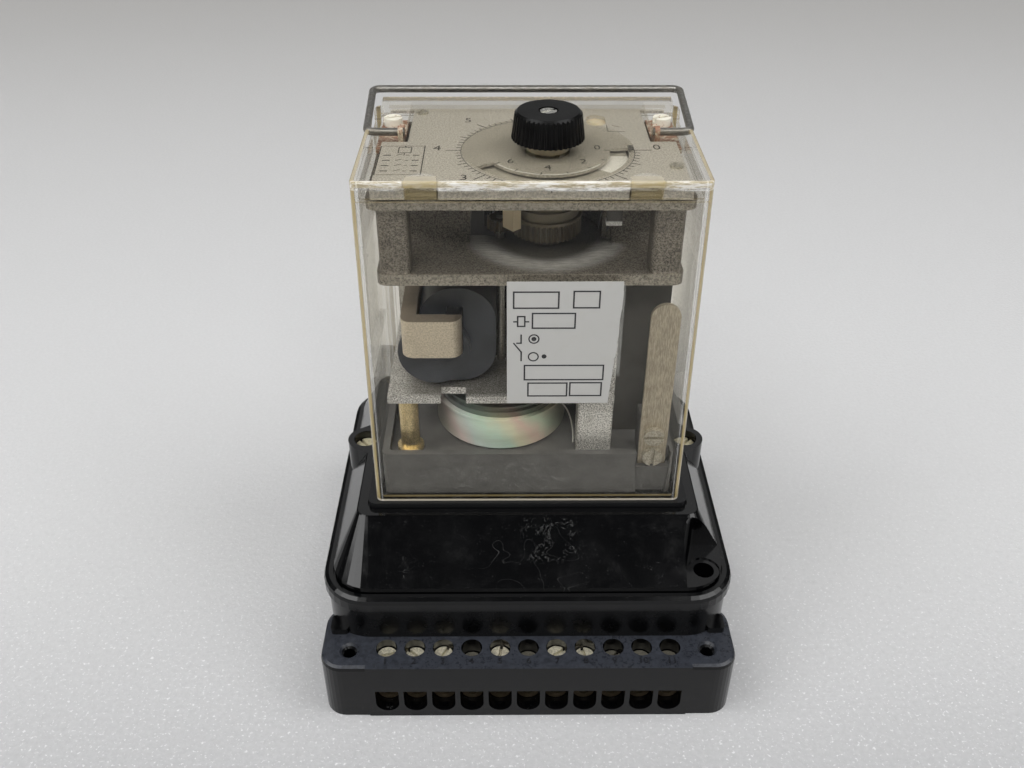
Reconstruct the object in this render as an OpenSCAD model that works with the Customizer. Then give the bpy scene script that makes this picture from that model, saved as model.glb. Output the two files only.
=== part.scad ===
// Plug-in time relay: a motor and clutch magnet under a clear cover, on a moulded
// terminal base. Millimetres, +Z up, the terminal side faces -Y, and the origin is
// the middle of the base's underside.

/* [Terminal base] */
// Width of the base across its terminal shelf
base_w = 130; // [124:1:140]
// Depth of the base from the shelf front to the rear of the lip
base_d = 125; // [120:1:135]
// Height of the base to the top of its lip
base_h = 40.2; // [38:0.2:46]
// Height of the terminal shelf
shelf_h = 22.8; // [21:0.2:26]
// Depth of the terminal shelf in front of the base wall
shelf_d = 12.7; // [12:0.1:15]
// Height of the lip around the top of the base
lip_h = 4.8; // [4:0.2:6]
// How far the lip stands out over the wall below it
lip_overhang = 1.1; // [0.8:0.1:2]
// Width of the lip's flat top
lip_w = 3; // [2.4:0.1:3.6]
// How far the lip stands above the deck inside it
lip_step = 1.2; // [0.8:0.1:1.6]
// Radius of the lip's corners
lip_r = 15; // [12:0.5:18]
// Radius of the shelf's front corners
shelf_r = 7; // [4:0.5:9]
// Wall thickness of the base moulding
base_wall = 3; // [2.4:0.1:4]

/* [Terminals] */
// Number of terminals in the row
terminal_count = 11; // [9:1:11]
// Distance between two terminals
terminal_pitch = 8.9; // [8.8:0.1:9.6]
// Width of a wire mouth
mouth_w = 7.3; // [6.8:0.1:7.6]
// Height of a wire mouth
mouth_h = 9.2; // [8.4:0.1:10]
// Height of the floor under a wire mouth
mouth_floor = 2.7; // [2:0.1:4]
// Diameter of a screw well
well_d = 6.6; // [6.2:0.1:7]
// Distance from the shelf front to the row of screws
well_inset = 8.2; // [8:0.1:9]
// Length of a terminal block along the wire
block_l = 7; // [6:0.1:7.4]
// Diameter of a block's wire hole
wire_d = 3.6; // [3:0.1:4]
// Head diameter of a terminal screw
terminal_head_d = 6; // [5.4:0.1:6]
// Shank diameter of a terminal screw
terminal_shank_d = 3.6; // [3:0.1:4]
// Distance from the middle to each hole at the shelf's ends
end_hole_x = 56.1; // [54:0.1:58]
// Diameter of the holes at the shelf's ends
end_hole_d = 3.5; // [3:0.1:4]

/* [Plinth] */
// Height of the plinth from the deck to its rim
plinth_h = 16; // [14:0.5:20]
// How far the rim stands out beside the cover
rim_out_x = 7.3; // [7:0.1:8]
// How far the rim stands out in front of the cover and behind it
rim_out_y = 6.05; // [5.6:0.05:6.8]
// Thickness of the rim
rim_t = 3.4; // [3:0.1:4]
// Height of the upright edge at the plinth's foot
plinth_edge = 3.2; // [2.4:0.1:4]
// Wall thickness of the plinth
plinth_wall = 3; // [2.4:0.1:3.4]
// How far each ear screw stands out beside the rim
ear_out = 0.9; // [0.5:0.1:1.3]
// Radius of an ear boss
ear_r = 6.3; // [6.2:0.1:6.8]
// Diameter of an ear's counterbore
ear_recess_d = 8.4; // [8:0.1:8.6]
// Width of the notch at the right front corner
notch_w = 12.6; // [11:0.2:14]
// Depth of the notch at the right front corner
notch_d = 18.5; // [16:0.5:20]
// Diameter of the panel screw hole in the notch
panel_hole_d = 6.5; // [5:0.1:7]

/* [Cover] */
// Width of the cover at its top
cover_w = 94.8; // [94:0.2:96]
// Depth of the cover at its top
cover_d = 66.5; // [66:0.1:68]
// Height of the cover
cover_h = 108; // [104:1:120]
// Wall thickness of the cover
cover_wall = 2; // [1.6:0.1:2.2]
// Draft of the cover's walls in degrees
cover_draft = 0.5; // [0.3:0.1:0.6]
// Position of the cover's centre behind the middle of the base
cover_y = 10.45; // [9.5:0.1:11.5]
// How far the bail rebates cut into the sides
rebate_w = 2.5; // [2.3:0.1:3]
// Thickness of the rating label
label_t = 0.25; // [0.2:0.05:0.4]
// Width of the rating label
label_w = 32; // [30:0.5:40]
// Height of the rating label
label_h = 41; // [38:0.5:44]

/* [Bail] */
// Diameter of the bail's wire
wire_bail_d = 2.3; // [2:0.1:2.5]
// How far the arms' centres lie inside the cover's sides at the pivots
bail_in = 0.2; // [0.1:0.05:0.4]
// How far the arms' centres lie outside the cover's sides at the crossbar
bail_out = 2; // [1.6:0.1:3]
// Length of the bail from its pivots to its crossbar
bail_l = 38.1; // [37:0.5:44]

/* [Setting drive] */
// Distance of the setting axis to the right of the middle
axis_x = 5.1; // [4:0.1:6]
// Distance of the setting axis behind the middle of the base
axis_y = 6.7; // [6:0.1:8]
// Diameter of the knob at its foot
knob_d = 20.8; // [18:0.2:24]
// Diameter of the knob at its top
knob_top_d = 19; // [16:0.2:20]
// Height of the knob
knob_h = 7.8; // [7:0.1:10]
// Number of flutes on the knob
flute_count = 43; // [36:1:48]
// Diameter of the knob's collar
collar_d = 12; // [11:0.2:13]
// Diameter of the setting spindle
spindle_d = 4; // [3.6:0.1:4.4]
// Gap between the clear index disc and the inside of the cover's front
disc_edge_gap = 3.1; // [2.5:0.1:3.5]
// Tooth module of the timing gears
gear_module = 0.5; // [0.48:0.01:0.5]
// Teeth on the timing gear
gear_teeth = 40; // [38:1:40]
// Teeth on the drive pinion
pinion_teeth = 14; // [12:1:14]
// Width of the timing gear's teeth
gear_t = 5.2; // [4.8:0.1:5.4]
// Diameter of the drive shaft
drive_d = 2.5; // [2.2:0.1:2.6]

/* [Frames and motor] */
// Height of the upper frame between its two faces
frame_h = 25.4; // [25:0.2:28]
// Thickness of the upper frame's top plate
frame_top_t = 2.6; // [2.2:0.1:3]
// Thickness of the upper frame's lower plate
frame_floor_t = 3.3; // [3:0.1:3.6]
// Height of the space that the motor fills
motor_space = 19.4; // [18:0.2:22]
// Radius of the motor can
motor_r = 21.2; // [20:0.2:21.4]
// Height of the motor can
can_h = 12.3; // [11:0.1:13]
// Thickness of the lower frame's plate
plate_t = 2.5; // [2:0.1:3]
// Diameter of the brass post
post_d = 6; // [5:0.2:7]
// Diameter of the rear columns
column_d = 7; // [6:0.2:8]

/* [Magnet and contacts] */
// Width of the magnet yoke
yoke_w = 17.9; // [17:0.1:19]
// Height of the magnet yoke's strip
yoke_h = 12.4; // [10:0.2:13]
// Thickness of the magnet yoke's strip
yoke_t = 4.5; // [4:0.1:4.8]
// Room between the armature's face and the rear columns
armature_room = 8.4; // [8:0.1:9]
// Height of the taped coil
coil_h = 32.6; // [30:0.2:33.4]
// Width of the contact strap
strap_w = 8.7; // [8:0.1:9.4]
// Length of the contact strap
strap_l = 60; // [50:1:61]
// Thickness of the contact strap
strap_t = 1.2; // [1:0.1:1.4]

/* [Hidden] */
$fn = 64;

// Clearances: between pieces that run, that slide in, and that are only kept apart
run_fit = 0.05;
slip_fit = 0.2;
free_gap = 0.4;
eps = 0.01;
hull_fn = 32;

// Levels of the base and plinth
shelf_front = -base_d / 2;
shelf_rear = shelf_front + shelf_d;
lip_front = shelf_rear - lip_overhang;
lip_rear = base_d / 2;
lip_depth = lip_rear - lip_front;
lip_y = (lip_front + lip_rear) / 2;
wall_w = base_w - 2 * lip_overhang;
wall_depth = lip_depth - 2 * lip_overhang;
wall_r = lip_r - lip_overhang;
lip_z = base_h - lip_h;
deck_z = base_h - lip_step;
deck_t = base_wall;
plinth_w = base_w - 2 * lip_w - 2 * free_gap;
plinth_d = lip_depth - 2 * lip_w - 2 * free_gap;
plinth_r = lip_r - lip_w;
rim_z = deck_z + plinth_h;
rim_w = cover_w + 2 * rim_out_x;
rim_d = cover_d + 2 * rim_out_y;
rim_r = 4;
well_w = rim_w - 2 * rim_t;
well_dp = rim_d - 2 * rim_t;
ledge_w = 3.8;
ledge_depth = 1;
slope_z = deck_z + plinth_edge;
notch_front = lip_y - plinth_d / 2;
panel_hole_x = plinth_w / 2 - 6.2;
panel_hole_y = notch_front + 7.8;
ear_x = rim_w / 2 + ear_out;
ear_y = cover_y + 0.6;
ear_floor = rim_z - 6;
ear_screw_d = 4;
ear_screw_reach = 4;
ear_flare_x = rim_w / 2 - 2;
ear_flare_y = 9.2;
ear_head_d = ear_recess_d - 0.6;
ear_head_h = 3;
base_boss_d = 9;
base_boss_h = 12;

// Levels of the relay from its flange to the dial
flange_t = 3;
flange_z = rim_z - ledge_depth + flange_t;
flange_w = well_w - 2 * free_gap;
flange_d = well_dp - 2 * free_gap;
cover_bottom = flange_z;
cover_top = cover_bottom + cover_h;
draft_step = tan(cover_draft);
tray_clear = 0.6;
tray_wall = 2.2;
tray_rise = 16.8;
tray_top = flange_z + tray_rise;
tray_floor = tray_top - 3.8;
tray_floor_t = 3;
tray_w = cover_w - 2 * cover_wall - 2 * tray_clear + 1.6;
tray_d = cover_d - 2 * cover_wall - 2 * tray_clear + 1.6;
skirt_bottom = rim_z - 11;
skirt_wall = 2.6;
skirt_in_w = tray_w - 2 * skirt_wall;
skirt_in_d = tray_d - 2 * skirt_wall;
dial_gap = 1;
dial_t = 0.8;
dial_top = cover_top - cover_wall - dial_gap;
dial_lip_h = 2.9;
dial_boss_h = 3.2;
frame_top = dial_top - dial_t - dial_boss_h;
frame_bottom = frame_top - frame_h;
floor_top = frame_bottom + frame_floor_t;
roof_bottom = frame_top - frame_top_t;
frame_clear = 1;
frame_w = cover_w - 2 * cover_wall - 2 * frame_clear;
frame_front = cover_y - cover_d / 2 + cover_wall + 1.9;
frame_rear = cover_y + cover_d / 2 - cover_wall - 1.2;
frame_d = frame_rear - frame_front;
frame_r = 3;

// Bosses and screws that hold the dial
dial_boss_x = frame_w / 2 - 4.4;
dial_boss_front = frame_front + 13.5;
dial_boss_d = 4.2;
dial_screw_d = 2.2;
dial_screw_reach = 3;
dial_head_d = 3.6;
dial_head_h = 0.7;

// Slot at the rear of the dial, seen from the setting axis
dial_slot_x = 15.5;
dial_slot_y = 23.8;
dial_slot_d = 5.8;
dial_slot_l = 3.4;

// Cover features
cover_front = cover_y - cover_d / 2;
collar_hole_d = collar_d + 1;
rib_r = 4;
rib_h = 2.6;
rib_x = [-cover_w / 2 + 18.4, cover_w / 2 - 17.4];
pin_z = cover_top - wire_bail_d / 2 - 0.15;
pin_y = cover_y + 6.25;
pocket_front = pin_y - wire_bail_d / 2 - 0.65;
pocket_rear = cover_y + cover_d / 2 - cover_wall - 3.2;
pocket_x = cover_w / 2 - 11.8;
pocket_z = frame_top + 0.6;
rebate_z = pin_z - wire_bail_d / 2 - 0.4;
label_x = -6.6;
label_z = cover_bottom + 38.4;

// Bail and its brackets
bail_r = wire_bail_d / 2;
bail_w_front = cover_w - 2 * bail_in;
bail_w_rear = cover_w + 2 * bail_out;
bail_bend = 2.6;
pin_inner_x = pocket_x + 0.6;
bracket_t = 1.4;
bracket_x = pocket_x + 1;
bracket_w = 8;
bracket_rear = pocket_rear - 0.5;
bracket_screw_x = bracket_x + 4.6;
bracket_screw_y = bracket_rear - 4;
bracket_screw_d = 3;
bracket_head_d = 5.6;
bracket_head_h = 2.4;

// Setting axis
disc_r = axis_y - cover_front - cover_wall - disc_edge_gap;
disc_t = 0.5;
disc_z = dial_top + 0.25;
collar_z = disc_z + disc_t;
knob_z = cover_top + 0.9;
spindle_bottom = frame_bottom - 7;
cam_r = 8;
cam_t = 3;
knob_bore_depth = 5;
knob_recess_d = 5.6;
knob_recess_h = 1.2;
gear_z = floor_top + 1.9;
gear_pitch_r = gear_module * gear_teeth / 2;
gear_tip_r = gear_pitch_r + 0.9 * gear_module;
hub_d = 8;
shroud_h = 3.6;
sleeve_d = 7;
flag_z = frame_top + 1.6;
flag_t = 0.8;
window_r_in = 17.6;
window_r_out = 23;
tab_r = 13.7;
tab_angle = 222;
tab_z = gear_z + 4.4;
bearing_d = 10;
pocket_r = 16.6;
pinion_pitch_r = gear_module * pinion_teeth / 2;
mesh_gap = 0.06;
motor_x = axis_x - gear_pitch_r - pinion_pitch_r - mesh_gap;
pinion_t = 3.6;

// Motor, plate and posts
plate_z = tray_floor + motor_space;
plate_top = plate_z + plate_t;
plate_left = -frame_w / 2 + 1.2;
plate_front = frame_front + 3.4;
pillar_x = 15.4;
pillar_w = 11;
pillar_d = 8.5;
plate_right = pillar_x + pillar_w;
back_panel_t = 1.6;
back_panel_y = cover_y + tray_d / 2 - tray_wall - 0.1 - back_panel_t;
plate_rear = back_panel_y - free_gap - 0.1;
yoke_x = -frame_w / 2 + 6.7;
plate_notch_x = yoke_x + 10.8;
plate_notch_w = 7.8;
plate_notch_d = 5.2;
post_x = -frame_w / 2 + 7.1;
post_y = plate_front + 3.5;
post_foot_d = 8.4;
post_foot_h = 1.2;
column_x = frame_w / 2 - 6.4;
column_y = frame_rear - 8;
lid_h = 4.2;

// Magnet and its armature
yoke_front = plate_front - 1;
yoke_z = plate_top + 14.9;
core_x = yoke_x + yoke_w - yoke_t / 2;
shaft_gap = 0.14;
coil_left = yoke_x + yoke_t + slip_fit + 0.1;
coil_right = motor_x - drive_d / 2 - shaft_gap;
coil_w = coil_right - coil_left;
coil_x = (coil_left + coil_right) / 2;
coil_z = plate_top + 17.4;
coil_corner = min(11, coil_w / 2 - 0.4);
coil_front = yoke_front + yoke_t + free_gap;
cheek_r = 11;
cheek_t = 3.6;
cheek_x = yoke_x + 9.3;
cheek_z = plate_top + 13.6;
pole_gap = 1.1;
yoke_l = column_y - column_d / 2 - armature_room - pole_gap - yoke_front;
bracket_y = yoke_front + yoke_l - 4.4;
magnet_plate_t = 1.5;
magnet_plate_left = yoke_x - 3.3;
magnet_plate_right = coil_right - 2;
magnet_plate_h = 33;
magnet_foot_d = 12;
armature_y = yoke_front + yoke_l + pole_gap;
armature_t = 2;
hinge_x = yoke_x - 0.9;
hinge_y = armature_y + 2.8;
hinge_d = 2;
knuckle_r = 2.1;

// Contacts and panels
panel_t = 3;
contact_panel_x = tray_w / 2 - 22.6;
contact_panel_w = 19.8;
contact_panel_y = plate_front + pillar_d + 3.4;
contact_panel_h = frame_bottom - tray_floor - 1.6;
strap_x = tray_w / 2 - 6.4;
strap_seat_y = cover_front + cover_wall + 4;
strap_bottom = tray_floor - 4.2;
strap_pillar_w = 9;
strap_pillar_d = 7;
strap_pillar_h = 16;
strap_pad_w = 11.4;
strap_pad_drop = 3;
tray_front = cover_y - tray_d / 2;
strap_screw_z = [5.2, 13.2];
strap_head_d = 6.2;
strap_head_h = 1.8;
strap_screw_d = 3;
slot_w = 1;
leaf_x = [for (offset = [3, 7.5, 12]) contact_panel_x + offset];
leaf_t = 0.5;
leaf_w = 6;
contact_d = 3;
contact_t = 1.4;
contact_block_h = 9;
contact_block_y = contact_panel_y + panel_t + 4;
contact_block_d = 9;
leaf_h = frame_bottom - tray_floor - contact_block_h - 6;
back_panel_w = 62;

// Plug between the relay and its socket
plug_plate_t = 3;
blade_w = 4;
blade_side_gap = 3;
blade_row = tray_w - 2 * skirt_wall - 2 * blade_side_gap - blade_w;
blade_pitch = blade_row / (terminal_count - 1);
blade_t = 0.8;
blade_l = 19;
blade_slot_w = 5;
blade_slot_d = 1.8;
clip_t = 0.6;
clip_h = 10;
blade_y = cover_y;

function terminal_x(i) = (i - (terminal_count - 1) / 2) * terminal_pitch;
function blade_x(i) = (i - (terminal_count - 1) / 2) * blade_pitch;
// Depth of each screw head below the shelf, since the screws are driven unevenly
function head_depth(i) = [3.1, 3.3, 3, 5.6, 2.95, 5.4, 3, 3.7, 5.2, 5.15, 5.35][i];
function screw_turn(i) = [15, -40, 62, 8, 80, -20, 35, -75, 50, 5, -30][i];
function spoke(angle) = [cos(angle), sin(angle)];
function sector(r, from, to, steps) = [for (k = [0 : steps]) r * spoke(from + (to - from) * k / steps)];

module rounded(w, d, r) {
    square([w - 2 * r, d], center = true);
    square([w, d - 2 * r], center = true);
    for (x = [-1, 1], y = [-1, 1])
        translate([x * (w / 2 - r), y * (d / 2 - r)])
            circle(r);
}

module slab(w, d, r, h) {
    linear_extrude(h)
        rounded(w, d, r);
}

// Slab whose upper edge is rounded over
module rounded_slab(w, d, r, h, round_in, round_h) {
    hull()
        for (step = [[0, 1], [0.25, 1 / 3], [1, 0]])
            slab(w - 2 * round_in * step[0], d - 2 * round_in * step[0], r - round_in * step[0],
                h - round_h * step[1], $fn = hull_fn);
}

module bored(d, h, z = 0) {
    translate([0, 0, z - eps])
        cylinder(d = d, h = h + 2 * eps);
}

module mirrored_x() {
    children();
    mirror([1, 0, 0])
        children();
}

// Slotted round-head screw with its head's underside at z = 0
module slotted_screw(head_d, head_h, shank_d, shank_l, turn) {
    difference() {
        union() {
            cylinder(d = head_d, h = head_h);
            translate([0, 0, -shank_l])
                cylinder(d = shank_d, h = shank_l + eps);
        }
        rotate([0, 0, turn])
            translate([-head_d, -slot_w / 2, head_h * 0.5])
                cube([2 * head_d, slot_w, head_h]);
    }
}

// Upright U outline, flat on top and round below, with its lowest point at y = 0
module u_outline(w, h) {
    translate([0, w / 2])
        circle(d = w);
    translate([-w / 2, w / 2])
        square([w, h - w / 2]);
}

module along_y(y0, l) {
    translate([0, y0 + l, 0])
        rotate([90, 0, 0])
            linear_extrude(l)
                children();
}

// Gear outline with thin straight-sided teeth, which leave backlash
module gear_outline(teeth, m, turn) {
    root = m * teeth / 2 - 0.62 * m * 2 / 1.24;
    tip = m * teeth / 2 + 0.9 * m;
    step = 360 / teeth;
    polygon([
        for (i = [0 : teeth - 1])
            for (p = [[root, -0.27], [tip, -0.1], [tip, 0.1], [root, 0.27]])
                p[0] * [cos(turn + step * (i + p[1])), sin(turn + step * (i + p[1]))]
    ]);
}

module terminal_base() {
    color("#1b1d20")
        difference() {
            union() {
                translate([0, lip_y, 0])
                    slab(wall_w, wall_depth, wall_r, lip_z + eps);
                base_shelf();
                base_lip();
                mirrored_x()
                    shelf_nub();
            }
            base_cavity();
            for (i = [0 : terminal_count - 1])
                terminal_chamber(i);
            mirrored_x()
                end_hole();
            base_deck_holes();
        }
}

// The shelf, with its middle section slightly proud of the rounded ends
module base_shelf() {
    inset = 0.35;
    middle_w = (terminal_count - 1) * terminal_pitch + 12;
    shelf_back = shelf_rear + shelf_r + 6;
    translate([0, (shelf_front + inset + shelf_back) / 2, 0])
        rounded_slab(base_w, shelf_back - shelf_front - inset, shelf_r, shelf_h, 1.2, 1.5);
    translate([-middle_w / 2, shelf_front, 0])
        cube([middle_w, shelf_d, shelf_h]);
}

module base_lip() {
    translate([0, lip_y, lip_z])
        difference() {
            rounded_slab(base_w, lip_depth, lip_r, lip_h, 1.6, 1.8);
            translate([0, 0, lip_h - lip_step])
                slab(base_w - 2 * lip_w, lip_depth - 2 * lip_w, lip_r - lip_w, lip_h);
            mirrored_x()
                translate([ear_flare_x, ear_y - lip_y - ear_flare_y - run_fit, lip_h - lip_step])
                    cube([ear_x + ear_r + run_fit - ear_flare_x, 2 * (ear_flare_y + run_fit), lip_h]);
        }
}

module shelf_nub() {
    nub_w = 5.6;
    nub_l = 6;
    nub_h = 2.2;
    translate([wall_w / 2 - 1.2 - nub_w / 2, shelf_rear + 1 + nub_l / 2, shelf_h - 1])
        slab(nub_w, nub_l, 1.2, nub_h + 1);
}

// Hollow underside, behind the solid terminal block
module base_cavity() {
    cavity_front = shelf_rear + 4;
    cavity_rear = lip_y + wall_depth / 2 - base_wall;
    translate([0, (cavity_front + cavity_rear) / 2, -eps])
        slab(wall_w - 2 * base_wall, cavity_rear - cavity_front, wall_r - base_wall, deck_z - deck_t + eps);
}

module terminal_chamber(i) {
    mouth_l = well_inset + block_l / 2 + slip_fit;
    translate([terminal_x(i), 0, mouth_floor])
        along_y(shelf_front - 1, mouth_l + 1)
            u_outline(mouth_w, mouth_h);
    translate([terminal_x(i), shelf_front + well_inset, mouth_floor + mouth_h - eps])
        cylinder(d = well_d, h = shelf_h);
}

module end_hole() {
    ring_d = 6.1;
    translate([end_hole_x, shelf_front + shelf_d - 5.3, 0]) {
        bored(end_hole_d, shelf_h);
        translate([0, 0, shelf_h - 1.3])
            cylinder(d1 = end_hole_d, d2 = ring_d, h = 1.3 + eps);
    }
}

module base_deck_holes() {
    for (i = [0 : terminal_count - 1])
        translate([blade_x(i) - blade_slot_w / 2, blade_y - blade_slot_d / 2, deck_z - deck_t - eps])
            cube([blade_slot_w, blade_slot_d, deck_t + 1]);
    mirrored_x()
        translate([ear_x, ear_y, deck_z - deck_t - ear_screw_reach])
            bored(ear_screw_d + 2 * slip_fit, plinth_h);
    translate([panel_hole_x, panel_hole_y, deck_z - deck_t])
        bored(panel_hole_d, deck_t);
}

module terminal_blocks() {
    color("#b9924a")
        for (i = [0 : terminal_count - 1])
            difference() {
                translate([terminal_x(i), 0, mouth_floor + slip_fit])
                    along_y(shelf_front + well_inset - block_l / 2, block_l)
                        u_outline(mouth_w - 2 * slip_fit, mouth_h - 2 * slip_fit);
                translate([terminal_x(i), 0, mouth_floor + mouth_w / 2])
                    along_y(shelf_front, 2 * shelf_d)
                        circle(d = wire_d);
                translate([terminal_x(i), shelf_front + well_inset, mouth_floor + mouth_w / 2])
                    cylinder(d = terminal_shank_d + 2 * run_fit, h = mouth_h);
            }
}

module terminal_screws() {
    head_h = 2.6;
    color("#cfc9b4")
        for (i = [0 : terminal_count - 1]) {
            head_z = shelf_h - head_depth(i) - head_h;
            shank_l = head_z - (mouth_floor + mouth_w / 2 + wire_d / 2 + 0.2);
            translate([terminal_x(i), shelf_front + well_inset, head_z])
                slotted_screw(terminal_head_d, head_h, terminal_shank_d, shank_l, screw_turn(i));
        }
}

module socket_clips() {
    gap = blade_t + 0.2;
    color("#c8a24e")
        for (i = [0 : terminal_count - 1])
            translate([blade_x(i), blade_y, deck_z - deck_t - clip_h])
                difference() {
                    translate([-blade_w / 2, -gap / 2 - clip_t, 0])
                        cube([blade_w, gap + 2 * clip_t, clip_h]);
                    translate([-blade_w, -gap / 2, clip_t])
                        cube([2 * blade_w, gap, clip_h]);
                }
}

module plinth() {
    color("#191b1e")
        difference() {
            union() {
                plinth_outer();
                mirrored_x()
                    ear_boss();
            }
            plinth_cavity();
            corner_notch();
            mirrored_x()
                ear_holes();
            plinth_floor_holes();
        }
}

// The sloped hood between the foot outline and the rim
module plinth_outer() {
    rim_edge = 1.2;
    hull() {
        translate([0, lip_y, deck_z])
            slab(plinth_w, plinth_d, plinth_r, plinth_edge, $fn = hull_fn);
        translate([0, cover_y, rim_z - rim_edge])
            rounded_slab(rim_w, rim_d, rim_r, rim_edge, 0.5, 0.5);
    }
}

module ear_boss() {
    translate([0, ear_y, deck_z])
        linear_extrude(plinth_h) {
            translate([ear_x, 0])
                circle(ear_r);
            polygon([
                [ear_flare_x, -ear_flare_y], [ear_x + 3, -ear_r * 0.86],
                [ear_x + 3, ear_r * 0.86], [ear_flare_x, ear_flare_y]
            ]);
        }
}

// Room under the relay, with the ledge that carries its flange
module plinth_cavity() {
    translate([0, cover_y, rim_z - ledge_depth])
        slab(well_w, well_dp, rim_r - 1, plinth_h);
    translate([0, cover_y, deck_z + plinth_wall])
        slab(well_w - 2 * ledge_w, well_dp - 2 * ledge_w, rim_r - 1, plinth_h);
}

module corner_notch() {
    round_r = 4;
    ring_r = 5;
    ring_depth = 0.5;
    notch_left = plinth_w / 2 - notch_w;
    translate([notch_left + notch_w, notch_front, slope_z])
        linear_extrude(plinth_h)
            rounded(2 * notch_w, 2 * notch_d, round_r);
    translate([panel_hole_x, panel_hole_y, deck_z]) {
        bored(panel_hole_d, plinth_edge);
        translate([0, 0, plinth_edge - ring_depth])
            cylinder(r = ring_r, h = 1);
    }
}

module ear_holes() {
    translate([ear_x, ear_y, 0]) {
        translate([0, 0, ear_floor])
            cylinder(d = ear_recess_d, h = plinth_h);
        bored(ear_screw_d + 2 * slip_fit, rim_z);
    }
}

module plinth_floor_holes() {
    for (i = [0 : terminal_count - 1])
        translate([blade_x(i) - blade_slot_w / 2, blade_y - blade_slot_d / 2, deck_z - eps])
            cube([blade_slot_w, blade_slot_d, plinth_wall + 1]);
}

module plinth_screws() {
    ear_screw_l = ear_floor - deck_z + deck_t + ear_screw_reach;
    color("#d8cfa6")
        for (x = [-1, 1])
            translate([x * ear_x, ear_y, ear_floor])
                slotted_screw(ear_head_d, ear_head_h, ear_screw_d, ear_screw_l, 50 * x);
}

module relay_base() {
    color("#26282a")
        difference() {
            union() {
                translate([0, cover_y, skirt_bottom])
                    slab(tray_w, tray_d, 2, tray_floor - skirt_bottom);
                translate([0, cover_y, flange_z - flange_t])
                    slab(flange_w, flange_d, rim_r - 1.4, flange_t);
                tray_walls();
                strap_pillar();
            }
            translate([0, cover_y, skirt_bottom - eps])
                slab(skirt_in_w, skirt_in_d, 1, tray_floor - tray_floor_t - skirt_bottom);
            strap_recess();
            strap_screw_holes();
        }
}

module tray_walls() {
    translate([0, cover_y, tray_floor - eps])
        difference() {
            slab(tray_w, tray_d, 2, tray_top - tray_floor + eps);
            translate([0, 0, -1])
                slab(tray_w - 2 * tray_wall, tray_d - 2 * tray_wall, 1, tray_top);
        }
}

module strap_pillar() {
    translate([strap_x - strap_pillar_w / 2, strap_seat_y, tray_floor - 1])
        cube([strap_pillar_w, strap_pillar_d, strap_pillar_h]);
    pad_front = tray_front + tray_wall;
    pad_bottom = strap_bottom - strap_pad_drop;
    translate([strap_x - strap_pad_w / 2, pad_front, pad_bottom])
        cube([strap_pad_w, strap_seat_y + strap_pillar_d - pad_front, tray_floor - pad_bottom]);
}

// Cut in the tray's front wall, the slot for the strap's foot, and the recess below it
module strap_recess() {
    cut_w = strap_w + 2;
    cut_z = tray_top - 6.1;
    recess_depth = 1.2;
    recess_lean = 0.8;
    translate([strap_x - cut_w / 2, tray_front - 1, cut_z])
        cube([cut_w, strap_seat_y - tray_front + 1, strap_pillar_h]);
    translate([strap_x - strap_w / 2 - slip_fit, strap_seat_y - strap_t - slip_fit, strap_bottom - slip_fit])
        cube([strap_w + 2 * slip_fit, strap_t + slip_fit, strap_pillar_h]);
    translate([strap_x, 0, 0])
        along_y(tray_front - 1, recess_depth + 1)
            polygon([
                [-cut_w / 2 + recess_lean, flange_z], [cut_w / 2 - recess_lean, flange_z],
                [cut_w / 2, cut_z + eps], [-cut_w / 2, cut_z + eps]
            ]);
}

module strap_screw_holes() {
    for (z = strap_screw_z)
        translate([strap_x, strap_seat_y - 1, strap_bottom + z])
            rotate([-90, 0, 0])
                cylinder(d = strap_screw_d + 2 * run_fit, h = 6.6);
}

module plug_plate() {
    color("#4a3526")
        difference() {
            translate([0, cover_y, skirt_bottom])
                slab(skirt_in_w - 2 * slip_fit, skirt_in_d - 2 * slip_fit, 1, plug_plate_t);
            for (i = [0 : terminal_count - 1])
                translate([blade_x(i), blade_y, skirt_bottom - 1])
                    linear_extrude(plug_plate_t + 2)
                        square([blade_w + 2 * run_fit, blade_t + 2 * run_fit], center = true);
        }
}

module plug_blades() {
    blade_top = skirt_bottom + plug_plate_t + 2;
    color("#c9b072")
        for (i = [0 : terminal_count - 1])
            translate([blade_x(i) - blade_w / 2, blade_y - blade_t / 2, blade_top - blade_l])
                cube([blade_w, blade_t, blade_l]);
}

module cover() {
    color("#dfe2cf", 0.35)
        difference() {
            cover_shell();
            mirrored_x()
                bail_pocket();
            translate([axis_x, axis_y, cover_top - cover_wall])
                bored(collar_hole_d, cover_wall);
        }
}

module cover_shell() {
    difference() {
        cover_body(0);
        cover_body(cover_wall);
    }
    for (x = rib_x)
        translate([x, cover_front + cover_wall - eps, cover_top - cover_wall - rib_h])
            intersection() {
                cylinder(r = rib_r, h = rib_h + eps);
                translate([-rib_r, -0.1, 0])
                    cube([2 * rib_r, 2 * rib_r, rib_h + eps]);
            }
}

// Drafted block of the cover's outline, inset by a wall thickness
module cover_body(inset) {
    corner = max(2.2 - inset, 0.6);
    low = inset == 0 ? 0 : 1;
    spread = 2 * (cover_h + low) * draft_step;
    w = cover_w - 2 * inset;
    d = cover_d - 2 * inset;
    edge = 0.6;
    soft = inset == 0 ? 0.4 : 0.05;
    difference() {
        hull() {
            translate([0, cover_y, cover_bottom - low])
                slab(w + spread, d + spread, corner, edge, $fn = hull_fn);
            translate([0, cover_y, cover_top - inset - edge])
                rounded_slab(w, d, corner, edge, soft, soft);
        }
        mirrored_x()
            translate([cover_w / 2 - rebate_w - inset, pocket_rear - 6 - inset, rebate_z - inset])
                cube([20, cover_d, 20]);
    }
}

// Opening over each bracket, where the bail's pin passes in through the side
module bail_pocket() {
    translate([pocket_x, pocket_front, pocket_z])
        cube([20, pocket_rear - pocket_front, 20]);
}

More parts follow.
